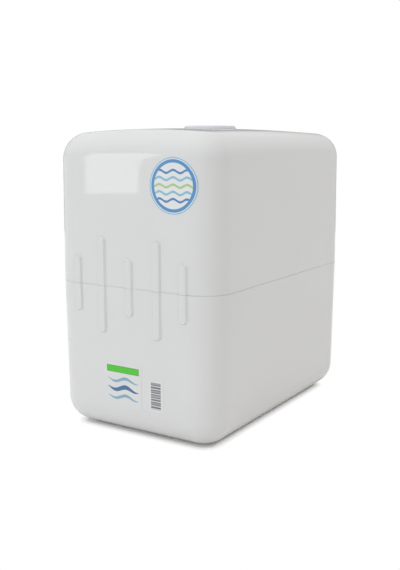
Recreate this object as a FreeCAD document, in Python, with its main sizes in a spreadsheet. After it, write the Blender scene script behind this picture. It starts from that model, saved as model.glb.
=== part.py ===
import FreeCAD, Part

import math
import os

import Sketcher

# Closed-case water purifier, millimetres, +Z up, front face towards -Y.
# The origin is on the floor, under the middle of the case.

SIZES = [
    # case: two drafted shells that meet at the seam
    ("case_width", 268.0),
    ("case_depth", 406.0),
    ("case_top", 420.0),
    ("seam_height", 210.0),
    ("seam_gap", 0.8),
    ("wall", 3.0),
    ("corner_radius", 42.0),
    ("top_edge_radius", 37.0),
    ("bottom_edge_radius", 38.0),
    ("draft_angle", 0.5),
    ("crown_drop_side", 7.3),
    ("crown_drop_front", 3.9),
    ("tongue_height", 5.0),
    ("lip_clearance", 0.3),
    ("seat_gap", 0.3),
    # ribs on the front face
    ("rib_width", 14.0),
    ("rib_proud", 3.0),
    ("rib_slope", 36.0),
    ("rib_rounding", 1.0),
    ("rib_root", 1.5),
    ("short_rib_length", 79.0),
    ("long_rib_length", 132.0),
    ("long_rib_offset", 45.0),
    ("outer_rib_offset", 86.0),
    # round cap in the top of the cover
    ("cap_place", 2.5),
    ("cap_radius", 38.0),
    ("cap_height", 4.8),
    ("cap_rounding", 3.4),
    ("cap_seat_depth", 0.8),
    ("cap_seat_clearance", 0.4),
    ("cap_skirt", 11.0),
    ("cap_skirt_wall", 2.4),
    ("opening_radius", 31.0),
    ("skirt_clearance", 0.5),
    ("seal_section", 1.1),
    ("seal_clearance", 0.1),
    ("seal_drop", 5.0),
    # stickers
    ("sticker_thickness", 0.3),
    ("sticker_gap", 0.05),
    ("badge_radius", 36.0),
    ("badge_side_inset", 63.0),
    ("badge_drop", 73.5),
    ("label_width", 62.0),
    ("label_tall", 62.0),
    ("label_x", -13.0),
    ("label_height", 75.0),
    ("bars_width", 23.0),
    ("bars_tall", 43.0),
    ("bars_x", 41.5),
    ("bars_height", 68.0),
    # feet and screws
    ("foot_height", 3.0),
    ("foot_radius", 11.0),
    ("foot_side_inset", 56.0),
    ("foot_end_inset", 57.0),
    ("boss_radius", 6.0),
    ("boss_height", 8.0),
    ("screw_radius", 1.75),
    ("screw_head_radius", 3.6),
    ("screw_head_height", 1.3),
    ("screw_clearance", 0.08),
    # recess with the tube connections at the back
    ("recess_side_inset", 48.0),
    ("recess_width", 34.0),
    ("recess_depth", 22.0),
    ("recess_foot", 48.0),
    ("recess_margin", 17.0),
    ("fitting_pitch", 32.0),
    ("barrel_radius", 9.0),
    ("barrel_clearance", 0.2),
    ("barrel_inside", 19.0),
    ("barrel_outside", 11.0),
    ("flange_radius", 12.5),
    ("flange_thickness", 2.5),
    ("nut_radius", 13.5),
    ("nut_thickness", 6.0),
    ("collet_radius", 5.2),
    ("collet_bore", 3.35),
    ("collet_clearance", 0.08),
    ("collet_depth", 7.0),
    ("collet_flange_radius", 6.8),
    ("collet_flange_thickness", 2.0),
    ("collet_travel", 1.5),
    ("collet_stop_gap", 0.3),
    # tubing
    ("tube_radius", 3.175),
    ("tube_bore", 2.15),
    ("tube_clearance", 0.06),
    ("tube_insertion", 14.0),
    ("bend_radius", 25.0),
    ("passage_radius", 2.4),
    # pressure tank
    ("tank_radius", 100.0),
    ("tank_barrel", 215.0),
    ("tank_dome", 40.0),
    ("tank_wall", 1.2),
    ("tank_floor_gap", 12.0),
    ("tank_rear_gap", 19.0),
    ("cradle_radius", 74.0),
    ("cradle_thickness", 8.0),
    ("cradle_flange", 4.0),
    ("diaphragm_thickness", 2.0),
    ("diaphragm_dish", 30.0),
    ("port_radius", 8.0),
    ("port_length", 18.0),
    ("port_flange", 3.0),
    ("port_clearance", 0.08),
    ("air_valve_height", 42.0),
    ("air_valve_radius", 4.0),
    ("air_valve_length", 12.0),
    # tank valve
    ("valve_lift", 39.0),
    ("line_lift", 20.0),
    ("valve_radius", 15.0),
    ("valve_neck", 13.0),
    ("valve_boss_radius", 12.0),
    ("valve_socket", 14.0),
    ("valve_front", 18.0),
    ("ball_radius", 10.0),
    ("ball_clearance", 0.08),
    ("ball_bore", 3.5),
    ("stem_radius", 4.0),
    ("stem_clearance", 0.06),
    ("stem_flat", 8.0),
    ("hub_radius", 11.0),
    ("hub_height", 9.0),
    ("lever_length", 56.0),
    ("lever_width", 16.0),
    ("lever_thickness", 5.0),
    # cartridges
    ("cartridge_radius", 31.0),
    ("cartridge_length", 270.0),
    ("cartridge_wall", 2.2),
    ("cartridge_front_gap", 10.0),
    ("cartridge_floor_gap", 46.0),
    ("column_gap", 10.0),
    ("neck_radius", 9.0),
    ("neck_length", 8.0),
    ("neck_bore", 5.2),
    ("core_hole", 8.0),
    # membrane housing
    ("membrane_wall", 3.0),
    ("membrane_floor", 6.0),
    ("membrane_cap_radius", 35.5),
    ("membrane_cap_height", 28.0),
    ("membrane_cap_top", 6.0),
    ("membrane_thread_gap", 0.3),
    ("membrane_rim_drop", 5.0),
    ("membrane_port_offset", 12.0),
    ("element_radius", 25.0),
    ("element_margin", 8.0),
    ("core_tube_radius", 5.7),
    ("core_tube_bore", 4.0),
    ("ring_section", 1.6),
    # bracket and clips
    ("bracket_thickness", 2.0),
    ("bracket_rise", 248.0),
    ("bracket_flange", 22.0),
    ("bracket_screw_x", 36.0),
    ("clip_depth", 7.0),
    ("clip_thickness", 2.7),
    ("clip_tall", 14.0),
    ("clip_margin", 60.0),
    ("clip_mouth", 22.0),
    ("clip_foot_width", 20.0),
    # elbows
    ("elbow_radius", 8.0),
    ("elbow_rise", 10.0),
    ("elbow_reach", 18.0),
    ("elbow_spigot", 7.0),
    ("elbow_collet", 3.0),
    ("elbow_collet_radius", 6.2),
    # shut-off valve
    ("shutoff_radius", 20.0),
    ("shutoff_below", 12.0),
    ("shutoff_above", 8.0),
    ("shutoff_cover", 10.0),
    ("shutoff_port_pitch", 20.0),
    ("shutoff_arm_radius", 7.0),
    ("shutoff_reach", 35.0),
    ("shutoff_chamber", 12.0),
    ("shutoff_chamber_depth", 4.0),
    ("shutoff_screw_circle", 16.0),
    ("plunger_radius", 5.0),
    ("plunger_clearance", 0.06),
    ("plunger_plate", 1.5),
    ("plunger_travel", 1.5),
    ("plunger_stop_gap", 0.5),
    # tee and flow restrictor
    ("tee_reach", 21.0),
    ("tee_radius", 7.5),
    ("restrictor_radius", 6.5),
    ("restrictor_length", 46.0),
    ("restrictor_x", 15.0),
    ("drain_lane_gap", 16.0),
]

UP = FreeCAD.Vector(0, 0, 1)
RIGHT = FreeCAD.Vector(1, 0, 0)
BACK = FreeCAD.Vector(0, 1, 0)

doc = FreeCAD.newDocument("water_purifier")
sheet = doc.addObject("Spreadsheet::Sheet", "sizes")
nodes = []


class Size:
    """A length that carries its number and the sheet expression it comes from."""

    def __init__(self, text, number):
        self.text = text
        self.number = number

    def __float__(self):
        return self.number

    def __neg__(self):
        return Size(f"(0 - {self.text})", -self.number)

    def __add__(self, other):
        return Size(f"({self.text} + {text_of(other)})", self.number + float(other))

    def __radd__(self, other):
        return Size(f"({text_of(other)} + {self.text})", float(other) + self.number)

    def __sub__(self, other):
        return Size(f"({self.text} - {text_of(other)})", self.number - float(other))

    def __rsub__(self, other):
        return Size(f"({text_of(other)} - {self.text})", float(other) - self.number)

    def __mul__(self, other):
        return Size(f"({self.text} * {text_of(other)})", self.number * float(other))

    def __rmul__(self, other):
        return Size(f"({text_of(other)} * {self.text})", float(other) * self.number)

    def __truediv__(self, other):
        return Size(f"({self.text} / {text_of(other)})", self.number / float(other))


def text_of(value):
    """The sheet text of a size, or of a plain number."""
    if isinstance(value, Size):
        return value.text
    return f"{float(value):.6f}"


def root(size):
    """Square root of a size."""
    return Size(f"sqrt({size.text})", math.sqrt(size.number))


def larger(first, second):
    """The larger of two sizes."""
    return Size(f"max({first.text}; {second.text})", max(first.number, second.number))


def tangent(size):
    """Tangent of an angle in degrees."""
    return Size(f"tan({size.text} * 1deg)", math.tan(math.radians(size.number)))


def fill_sheet():
    """Write every driving size as a plain number with an alias."""
    for row, (name, number) in enumerate(SIZES, start=1):
        sheet.set(f"A{row}", name)
        sheet.set(f"B{row}", str(number))
        sheet.setAlias(f"B{row}", name)
    doc.recompute()
    return {name: Size(f"sizes.{name}", float(sheet.get(name))) for name, _ in SIZES}


s = type("Sizes", (), fill_sheet())


def vector(x, y, z):
    """A vector from sizes or numbers."""
    return FreeCAD.Vector(float(x), float(y), float(z))


def bind(thing, prop, size):
    """Bind one property to the sheet, or set it where the value is a plain number."""
    if isinstance(size, Size):
        thing.setExpression(prop, size.text)
    else:
        setattr(thing, prop, float(size))


def place(thing, x=0, y=0, z=0, turn=None):
    """Put a sub-part where the sheet says, with an optional turn."""
    thing.Placement = FreeCAD.Placement(vector(x, y, z), turn or FreeCAD.Rotation())
    for letter, size in zip("xyz", (x, y, z)):
        if isinstance(size, Size):
            thing.setExpression(f"Placement.Base.{letter}", size.text)
    return thing


def node(thing, label):
    """Name a finished sub-part and list it for writing."""
    thing.Label = label
    nodes.append(thing)
    return thing


def origin_plane(body, role):
    """One of a body's own origin planes."""
    return next(f for f in body.Origin.OriginFeatures if f.Role == role)


def arc_between(first, last, radius):
    """Arc between two points: a positive radius turns left, a negative one right."""
    chord = last - first
    rise = math.sqrt(radius ** 2 - (chord.Length / 2) ** 2)
    left = FreeCAD.Vector(-chord.y, chord.x, 0).normalize()
    side = 1 if radius > 0 else -1
    centre = (first + last) / 2 + left * rise * side
    begin, end = (first, last) if radius > 0 else (last, first)
    angles = [math.atan2(p.y - centre.y, p.x - centre.x) for p in (begin, end)]
    return Part.ArcOfCircle(Part.Circle(centre, UP, abs(radius)), *angles)


def outline(body, role, corners, arcs=None, name="outline"):
    """A closed sketch whose corners and arcs are bound to the sheet.

    arcs gives the radius of each edge that isn't straight, by the number of its first corner.
    """
    arcs = arcs or {}
    sketch = body.newObject("Sketcher::SketchObject", f"{body.Name}_{name}")
    sketch.AttachmentSupport = [(origin_plane(body, role), "")]
    sketch.MapMode = "FlatFace"
    points = [vector(a, b, 0) for a, b in corners]
    ends = []
    for index, first in enumerate(points):
        last = points[(index + 1) % len(points)]
        if index in arcs:
            radius = float(arcs[index])
            sketch.addGeometry(arc_between(first, last, radius), False)
            ends.append((1, 2) if radius > 0 else (2, 1))
        else:
            sketch.addGeometry(Part.LineSegment(first, last), False)
            ends.append((1, 2))
    for index in range(len(points)):
        following = (index + 1) % len(points)
        sketch.addConstraint(
            Sketcher.Constraint("Coincident", index, ends[index][1], following, ends[following][0])
        )
    for index, corner in enumerate(corners):
        for kind, size in zip(("DistanceX", "DistanceY"), corner):
            rule = sketch.addConstraint(
                Sketcher.Constraint(kind, -1, 1, index, ends[index][0], float(size))
            )
            if isinstance(size, Size):
                sketch.setExpression(f"Constraints[{rule}]", size.text)
    for index, radius in arcs.items():
        rule = sketch.addConstraint(Sketcher.Constraint("Radius", index, abs(float(radius))))
        sketch.setExpression(f"Constraints[{rule}]", f"abs({text_of(radius)})")
    return sketch


def turned(name, corners, arcs=None):
    """A body of revolution about its own Z axis, from a half outline."""
    body = doc.addObject("PartDesign::Body", name)
    profile = outline(body, "XZ_Plane", corners, arcs)
    turn = body.newObject("PartDesign::Revolution", f"{name}_turn")
    turn.Profile = profile
    turn.ReferenceAxis = (profile, ["V_Axis"])
    turn.Angle = 360
    body.Tip = turn
    doc.recompute()
    return body


def raised(name, role, corners, length, arcs=None, taper=None):
    """A body raised from an outline on one of its origin planes."""
    body = doc.addObject("PartDesign::Body", name)
    profile = outline(body, role, corners, arcs)
    pad = body.newObject("PartDesign::Pad", f"{name}_pad")
    pad.Profile = profile
    bind(pad, "Length", length)
    if taper is not None:
        bind(pad, "TaperAngle", taper)
    body.Tip = pad
    doc.recompute()
    return body


def edges_where(shape, test):
    """Names of the edges that pass a test."""
    return [f"Edge{k}" for k, edge in enumerate(shape.Edges, start=1) if test(edge)]


def soften(body, name, radius, test, kind="Fillet"):
    """Round the edges of a body that pass a test."""
    base = body.Tip
    dress = body.newObject(f"PartDesign::{kind}", f"{body.Name}_{name}")
    dress.Base = (base, edges_where(base.Shape, test))
    bind(dress, "Radius", radius)
    body.Tip = dress
    doc.recompute()
    return body


def cylinder(name, radius, height, x=0, y=0, z=0, along=UP):
    """A round bar that starts at a point and runs along a direction."""
    bar = doc.addObject("Part::Cylinder", name)
    bind(bar, "Radius", radius)
    bind(bar, "Height", height)
    return place(bar, x, y, z, FreeCAD.Rotation(UP, along))


def sphere(name, radius, x=0, y=0, z=0):
    """A ball about a point."""
    ball = doc.addObject("Part::Sphere", name)
    bind(ball, "Radius", radius)
    return place(ball, x, y, z)


def block(name, low, high):
    """A box between two corners."""
    box = doc.addObject("Part::Box", name)
    for prop, a, b in zip(("Length", "Width", "Height"), low, high):
        bind(box, prop, b - a)
    return place(box, *low)


def fuse(name, *parts):
    """Several solids joined into one."""
    joined = doc.addObject("Part::MultiFuse", name)
    joined.Shapes = list(parts)
    return joined


def common(name, *parts):
    """The space that several solids share."""
    shared = doc.addObject("Part::MultiCommon", name)
    shared.Shapes = list(parts)
    return shared


def cut(name, base, *tools):
    """A solid with one or more tools taken out of it."""
    rest = doc.addObject("Part::Cut", name)
    rest.Base = base
    rest.Tool = tools[0] if len(tools) == 1 else fuse(f"{name}_tools", *tools)
    return rest


def group(label, master, places):
    """Copies of one finished piece, kept together as separate solids."""
    doc.recompute()
    copies = []
    for where in places:
        piece = master.Shape.copy()
        piece.Placement = where.multiply(piece.Placement)
        copies.append(piece)
    bundle = doc.addObject("Part::Feature", label)
    bundle.Shape = Part.makeCompound(copies)
    bundle.Placement = FreeCAD.Placement()
    return node(bundle, label)


def at(x, y, z, *turns):
    """A placement from sizes, with turns applied in order."""
    rotation = FreeCAD.Rotation()
    for turn in turns:
        rotation = turn.multiply(rotation)
    return FreeCAD.Placement(vector(x, y, z), rotation)


# Places that follow from the sizes.
HALF_X = s.case_width / 2
HALF_Y = s.case_depth / 2
CASE_Y = s.rib_proud / 2
UPPER_FOOT = s.seam_height + s.seam_gap / 2
LOWER_HEAD = s.seam_height - s.seam_gap / 2
FLOOR = s.foot_height + s.wall
FRONT_INSIDE = CASE_Y - HALF_Y + s.wall
REAR_INSIDE = CASE_Y + HALF_Y - s.wall

TANK_Y = REAR_INSIDE - s.tank_rear_gap - s.tank_radius
TANK_FOOT = FLOOR + s.tank_floor_gap
TANK_LOW_DOME = TANK_FOOT + s.tank_dome
TANK_HIGH_DOME = TANK_LOW_DOME + s.tank_barrel
TANK_TOP = TANK_HIGH_DOME + s.tank_dome

COLUMN = 2 * s.cartridge_radius + s.column_gap
FRONT_ROW = FRONT_INSIDE + s.cartridge_front_gap + s.cartridge_radius
PLATE_Y = FRONT_ROW + s.cartridge_radius + s.clip_depth
REAR_ROW = PLATE_Y + s.bracket_thickness + s.clip_depth + s.cartridge_radius
CARTRIDGE_FOOT = FLOOR + s.cartridge_floor_gap
CARTRIDGE_HEAD = CARTRIDGE_FOOT + s.cartridge_length
LOW_LINE = CARTRIDGE_FOOT - s.elbow_rise
HIGH_LINE = CARTRIDGE_HEAD + s.elbow_rise
VALVE_Z = larger(TANK_TOP + s.valve_lift, HIGH_LINE + s.line_lift)
SHOULDER = s.cartridge_radius - s.neck_radius
BOSS_TOP = FLOOR + s.boss_height
SOCKET = s.tube_radius + s.tube_clearance

LANE_X = (s.tank_radius + HALF_X - s.wall) / 2
DRAIN_LANE_Y = REAR_ROW + s.cartridge_radius + s.drain_lane_gap
SHUTOFF_X = s.shutoff_port_pitch / 2
SHUTOFF_Y = PLATE_Y + s.bracket_thickness / 2
VALVE_EXIT_Y = TANK_Y - s.valve_front - s.tube_insertion - s.flange_thickness
TEE_Y = (SHUTOFF_Y + s.shutoff_reach + VALVE_EXIT_Y) / 2

RECESS_X = s.recess_side_inset - HALF_X
RECESS_FLOOR_Y = CASE_Y + HALF_Y - s.recess_depth
RECESS_TALL = 2 * s.recess_margin + 2 * s.fitting_pitch
FITTING_Z = [s.recess_foot + s.recess_margin + k * s.fitting_pitch for k in range(3)]

FEET = [
    (side * (HALF_X - s.foot_side_inset), CASE_Y + end * (HALF_Y - s.foot_end_inset))
    for side in (-1, 1)
    for end in (-1, 1)
]
BRACKET_SCREWS = [
    (side * s.bracket_screw_x, PLATE_Y + s.bracket_thickness + s.bracket_flange / 2)
    for side in (-1, 1)
]


def case_block(name, inset, upper):
    """One half of the case as a solid, with its walls drawn in by an inset."""
    reach_x = HALF_X - inset
    reach_y = HALF_Y - inset
    corners = [(-reach_x, -reach_y), (reach_x, -reach_y), (reach_x, reach_y), (-reach_x, reach_y)]
    if upper:
        height = s.case_top - inset - UPPER_FOOT
        edge_radius = s.top_edge_radius - inset
    else:
        height = LOWER_HEAD - s.foot_height - inset
        edge_radius = s.bottom_edge_radius - inset
    body = raised(name, "XY_Plane", corners, height, taper=-s.draft_angle)
    if not upper:
        body.Tip.Reversed = True
        doc.recompute()
    soften(body, "corners", s.corner_radius - inset, is_upright)
    if upper:
        crown(body, inset, height)
    far = float(height) - float(s.crown_drop_side) - float(s.crown_drop_front) - 1
    soften(body, "rim", edge_radius, lambda edge: lies_beyond(edge, far))
    place(body, 0, CASE_Y, UPPER_FOOT if upper else LOWER_HEAD)
    return body


def is_upright(edge):
    """Whether an edge climbs the height of a wall."""
    box = edge.BoundBox
    return box.ZLength > 5 * max(box.XLength, box.YLength)


def lies_beyond(edge, far):
    """Whether all of an edge is far from the seam plane."""
    heights = [abs(vertex.Z) for vertex in edge.Vertexes]
    return min(heights) > far


def crown(body, inset, height):
    """Take the flat top of the upper block down to a gently domed one."""
    across = (HALF_X * HALF_X) / (2 * s.crown_drop_side)
    along = (HALF_Y * HALF_Y) / (2 * s.crown_drop_front)
    reach = HALF_X + 10
    top = along + 20
    shoulder = along - across + root(across * across - reach * reach)
    corners = [(reach, shoulder), (reach, top), (-reach, top), (-reach, shoulder)]
    base = body.Tip
    arch = outline(body, "XZ_Plane", corners, {3: -across}, "crown")
    arch.AttachmentOffset = FreeCAD.Placement(vector(0, height - along, 0), FreeCAD.Rotation())
    arch.setExpression("AttachmentOffset.Base.y", (height - along).text)
    groove = body.newObject("PartDesign::Groove", f"{body.Name}_crown")
    groove.Profile = arch
    groove.ReferenceAxis = (arch, ["H_Axis"])
    groove.Midplane = True
    groove.Angle = 2 * math.degrees(math.asin((float(HALF_Y) + 12) / float(along)))
    body.Tip = groove
    doc.recompute()
    if groove.Shape.Volume >= base.Shape.Volume:
        raise RuntimeError(f"{body.Name}: the crown cut nothing")


def ring_block(name, inset, foot, height):
    """An upright block with the case's outline, drawn in by an inset."""
    reach_x = HALF_X - inset
    reach_y = HALF_Y - inset
    corners = [(-reach_x, -reach_y), (reach_x, -reach_y), (reach_x, reach_y), (-reach_x, reach_y)]
    body = raised(name, "XY_Plane", corners, height)
    soften(body, "corners", s.corner_radius - inset, is_upright)
    return place(body, 0, CASE_Y, foot)


def front_rib(name, x, length):
    """One capsule-shaped rib with sloping sides, whole across the seam."""
    spread = s.rib_root * tangent(s.rib_slope)
    half = s.rib_width / 2 + spread
    end = length / 2 + spread
    shaft = end - half
    corners = [
        (half, -shaft),
        (half, shaft),
        (0, end),
        (-half, shaft),
        (-half, -shaft),
        (0, -end),
    ]
    arcs = {1: half, 2: half, 4: half, 5: half}
    rise = s.rib_proud + s.rib_root
    body = raised(name, "XZ_Plane", corners, rise, arcs, -s.rib_slope)
    crest = -float(rise)
    soften(body, "crest", s.rib_rounding, lambda edge: edge.BoundBox.YMax < crest + 0.01)
    return place(body, x, CASE_Y - HALF_Y + s.rib_root, s.seam_height)


def front_ribs():
    """The five ribs of the front, as one tool that each shell takes its part of."""
    rows = [
        (-s.outer_rib_offset, s.short_rib_length),
        (-s.long_rib_offset, s.long_rib_length),
        (0, s.short_rib_length),
        (s.long_rib_offset, s.long_rib_length),
        (s.outer_rib_offset, s.short_rib_length),
    ]
    bars = [front_rib(f"rib_{k}", x, length) for k, (x, length) in enumerate(rows, start=1)]
    return fuse("front_ribs", *bars)


def ribs_of(name, all_ribs, low, high):
    """The part of the ribs between two heights."""
    front = CASE_Y - HALF_Y
    slab = block(f"{name}_slab", (-HALF_X, front - 2 * s.rib_proud, low), (HALF_X, front + s.wall, high))
    return common(name, all_ribs, slab)


def upper_cover(all_ribs):
    """The lift-off upper shell, open below, with the cap's opening in its top."""
    outer = case_block("cover_outer", 0, True)
    inner = case_block("cover_inner", s.wall, True)
    shell = cut("cover_shell", outer, inner)
    rebate = ring_block(
        "cover_rebate",
        (s.wall - s.lip_clearance) / 2,
        UPPER_FOOT,
        s.tongue_height + s.seat_gap - s.seam_gap / 2,
    )
    opening = cylinder(
        "cover_opening", s.opening_radius, 4 * s.wall, 0, s.cap_place, s.case_top - 3 * s.wall
    )
    seat = cylinder(
        "cover_seat",
        s.cap_radius + s.cap_seat_clearance,
        s.wall,
        0,
        s.cap_place,
        s.case_top - s.cap_seat_depth,
    )
    ribs = ribs_of("cover_ribs", all_ribs, UPPER_FOOT, s.case_top)
    whole = fuse("cover_with_ribs", shell, ribs)
    node(cut("upper_cover", whole, rebate, opening, seat), "upper_cover")


def base_shell(all_ribs):
    """The lower shell: tray, tongue, screw bosses and the connection recess."""
    outer = case_block("base_outer", 0, False)
    inner = case_block("base_inner", s.wall, False)
    half = s.recess_width / 2
    housing = block(
        "recess_housing",
        (RECESS_X - half - s.wall, RECESS_FLOOR_Y - s.wall, s.recess_foot - s.wall),
        (RECESS_X + half + s.wall, CASE_Y + HALF_Y + 1, s.recess_foot + RECESS_TALL + s.wall),
    )
    hollow = cut("base_hollow", inner, housing)
    tray = cut("base_tray", outer, hollow)
    tongue_foot = LOWER_HEAD - s.tongue_height
    tongue_rise = s.tongue_height * 2 + s.seam_gap / 2
    tongue_outer = ring_block(
        "tongue_outer", (s.wall + s.lip_clearance) / 2, tongue_foot, tongue_rise
    )
    tongue_inner = ring_block("tongue_inner", s.wall, tongue_foot - 1, tongue_rise + 2)
    tongue = cut("tongue", tongue_outer, tongue_inner)
    bosses = [
        cylinder(f"boss_{k}", s.boss_radius, BOSS_TOP - s.foot_height - 1, x, y, s.foot_height + 1)
        for k, (x, y) in enumerate(FEET + BRACKET_SCREWS, start=1)
    ]
    ribs = ribs_of("base_ribs", all_ribs, s.foot_height, LOWER_HEAD)
    solid = fuse("base_solid", tray, tongue, ribs, *bosses)
    space = block(
        "recess_space",
        (RECESS_X - half, RECESS_FLOOR_Y, s.recess_foot),
        (RECESS_X + half, CASE_Y + HALF_Y + 2, s.recess_foot + RECESS_TALL),
    )
    bore = s.screw_radius + s.screw_clearance
    foot_holes = [
        cylinder(f"foot_hole_{k}", bore, BOSS_TOP - 2, x, y, 0)
        for k, (x, y) in enumerate(FEET, start=1)
    ]
    pilot_holes = [
        cylinder(f"pilot_hole_{k}", bore, s.boss_height, x, y, FLOOR)
        for k, (x, y) in enumerate(BRACKET_SCREWS, start=1)
    ]
    fitting_holes = [
        cylinder(
            f"fitting_hole_{k}",
            s.barrel_radius + s.barrel_clearance,
            3 * s.wall,
            RECESS_X,
            RECESS_FLOOR_Y - 2 * s.wall,
            z,
            BACK,
        )
        for k, z in enumerate(FITTING_Z, start=1)
    ]
    shell = cut("base_shell", solid, space, *foot_holes, *pilot_holes, *fitting_holes)
    node(shell, "base_shell")


def top_cap():
    """The round cap with its skirt, and the seal in the skirt's groove."""
    foot = s.case_top - s.cap_seat_depth
    skirt = s.opening_radius - s.skirt_clearance
    ring = s.opening_radius - s.seal_clearance - s.seal_section
    groove = ring - s.seal_section - s.seal_clearance
    groove_low = -s.seal_drop - s.seal_section - s.seal_clearance
    groove_high = -s.seal_drop + s.seal_section + s.seal_clearance
    corners = [
        (0, 0),
        (skirt - s.cap_skirt_wall - s.seal_section, 0),
        (skirt - s.cap_skirt_wall - s.seal_section, -s.cap_skirt),
        (skirt, -s.cap_skirt),
        (skirt, groove_low),
        (groove, groove_low),
        (groove, groove_high),
        (skirt, groove_high),
        (skirt, s.seat_gap),
        (s.cap_radius, s.seat_gap),
        (s.cap_radius, s.cap_height),
        (0, s.cap_height),
    ]
    cap = turned("top_cap", corners)
    crest = float(s.cap_height)
    soften(cap, "edge", s.cap_rounding, lambda edge: edge.BoundBox.ZMin > crest - 0.01)
    node(place(cap, 0, s.cap_place, foot), "top_cap")
    seal = doc.addObject("Part::Torus", "cap_seal")
    bind(seal, "Radius1", ring)
    bind(seal, "Radius2", s.seal_section)
    node(place(seal, 0, s.cap_place, foot - s.seal_drop), "cap_seal")


def sticker(label, upper, stamp):
    """A thin sheet that follows the case's face, cut to the shape of a stamp."""
    skin_out = case_block(f"{label}_out", -(s.sticker_gap + s.sticker_thickness), upper)
    skin_in = case_block(f"{label}_in", -s.sticker_gap, upper)
    patch = common(f"{label}_patch", skin_out, stamp)
    node(cut(label, patch, skin_in), label)


def stickers():
    """The round badge, the lower label and the bar sticker on the front."""
    front = CASE_Y - HALF_Y
    badge = cylinder(
        "badge_stamp",
        s.badge_radius,
        HALF_X / 2,
        HALF_X - s.badge_side_inset,
        front - 2,
        s.case_top - s.badge_drop,
        BACK,
    )
    sticker("round_badge", True, badge)
    for label, x, z, width, tall in (
        ("front_label", s.label_x, s.label_height, s.label_width, s.label_tall),
        ("bar_label", s.bars_x, s.bars_height, s.bars_width, s.bars_tall),
    ):
        stamp = block(
            f"{label}_stamp",
            (x - width / 2, front - 2, z - tall / 2),
            (x + width / 2, front + s.wall * 2, z + tall / 2),
        )
        sticker(label, False, stamp)


def screw(name, length):
    """A pan-head screw that points down from its head's seat at zero."""
    corners = [
        (0, -length),
        (s.screw_radius * 0.6, -length),
        (s.screw_radius, -length + s.screw_radius),
        (s.screw_radius, 0),
        (s.screw_head_radius, 0),
        (s.screw_head_radius, s.screw_head_height * 0.5),
        (s.screw_head_radius * 0.7, s.screw_head_height),
        (0, s.screw_head_height),
    ]
    return turned(name, corners)


def feet():
    """Four rubber feet, each held by a screw in its counterbore."""
    sink = s.screw_head_height + s.seat_gap
    hole = s.screw_radius + s.screw_clearance
    corners = [
        (hole, sink),
        (hole, s.foot_height),
        (s.foot_radius, s.foot_height),
        (s.foot_radius, 0.8),
        (s.foot_radius - 0.8, 0),
        (s.screw_head_radius + s.seat_gap, 0),
        (s.screw_head_radius + s.seat_gap, sink),
    ]
    foot = turned("foot_master", corners)
    group("rubber_feet", foot, [at(x, y, 0) for x, y in FEET])
    bolt = screw("foot_screw_master", BOSS_TOP - 3 - sink)
    over = FreeCAD.Rotation(RIGHT, 180)
    group("foot_screws", bolt, [at(x, y, sink, over) for x, y in FEET])


def tank_capsule(name, inset):
    """A cylinder with two domed ends, drawn in by an inset."""
    radius = s.tank_radius - inset
    barrel = cylinder(f"{name}_barrel", radius, s.tank_barrel, 0, TANK_Y, TANK_LOW_DOME)
    domes = []
    for side, height in (("low", TANK_LOW_DOME), ("high", TANK_HIGH_DOME)):
        dome = doc.addObject("Part::Ellipsoid", f"{name}_{side}")
        bind(dome, "Radius1", s.tank_dome - inset)
        bind(dome, "Radius2", radius)
        bind(dome, "Radius3", radius)
        domes.append(place(dome, 0, TANK_Y, height))
    return fuse(name, barrel, *domes)


def tank():
    """The pressure tank with its diaphragm, threaded port, air valve and cradle."""
    outer = tank_capsule("tank_outer", 0)
    inner = tank_capsule("tank_inner", s.tank_wall)
    port_hole = cylinder(
        "tank_port_hole",
        s.port_radius + s.port_clearance,
        s.tank_dome,
        0,
        TANK_Y,
        TANK_TOP - s.tank_dome / 2,
    )
    air_z = TANK_LOW_DOME + s.air_valve_height
    air_hole = cylinder(
        "tank_air_hole",
        s.air_valve_radius + s.port_clearance,
        s.tank_radius,
        s.tank_radius / 2,
        TANK_Y,
        air_z,
        RIGHT,
    )
    node(cut("tank_shell", outer, inner, port_hole, air_hole), "tank_shell")

    collar = s.port_radius + 4
    corners = [
        (s.passage_radius + 2, -s.port_flange - s.tank_wall),
        (collar, -s.port_flange - s.tank_wall),
        (collar, -s.tank_wall - s.seat_gap * 2),
        (s.port_radius, -s.tank_wall - s.seat_gap * 2),
        (s.port_radius, s.port_length),
        (s.passage_radius + 2, s.port_length),
    ]
    node(place(turned("tank_port", corners), 0, TANK_Y, TANK_TOP), "tank_port")

    reach = s.tank_radius - s.tank_wall - s.seat_gap
    dish = s.diaphragm_dish
    sweep = (reach * reach + dish * dish) / (2 * dish)
    corners = [
        (0, 0),
        (reach, dish),
        (reach, dish + s.diaphragm_thickness),
        (0, s.diaphragm_thickness),
    ]
    sheet_body = turned("tank_diaphragm", corners, {0: sweep, 2: -sweep})
    middle = TANK_LOW_DOME + s.tank_barrel / 2
    node(place(sheet_body, 0, TANK_Y, middle - dish), "tank_diaphragm")

    stem = s.air_valve_radius
    corners = [
        (0, -3),
        (stem + 2, -3),
        (stem + 2, -s.tank_wall - s.seat_gap),
        (stem, -s.tank_wall - s.seat_gap),
        (stem, s.air_valve_length * 0.4),
        (stem + 1.2, s.air_valve_length * 0.4),
        (stem + 1.2, s.air_valve_length),
        (0, s.air_valve_length),
    ]
    air = turned("air_valve", corners)
    turn = FreeCAD.Rotation(UP, RIGHT)
    node(place(air, s.tank_radius, TANK_Y, air_z, turn), "air_valve")

    rim = s.cradle_radius
    corners = [
        (rim - s.cradle_thickness, 0),
        (rim + s.cradle_flange, 0),
        (rim + s.cradle_flange, 3),
        (rim, 3),
        (rim, TANK_LOW_DOME - FLOOR),
        (rim - s.cradle_thickness, TANK_LOW_DOME - FLOOR),
    ]
    ring = place(turned("cradle_ring", corners), 0, TANK_Y, FLOOR)
    seat = tank_capsule("cradle_seat", -s.seat_gap)
    node(cut("tank_cradle", ring, seat), "tank_cradle")


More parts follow.
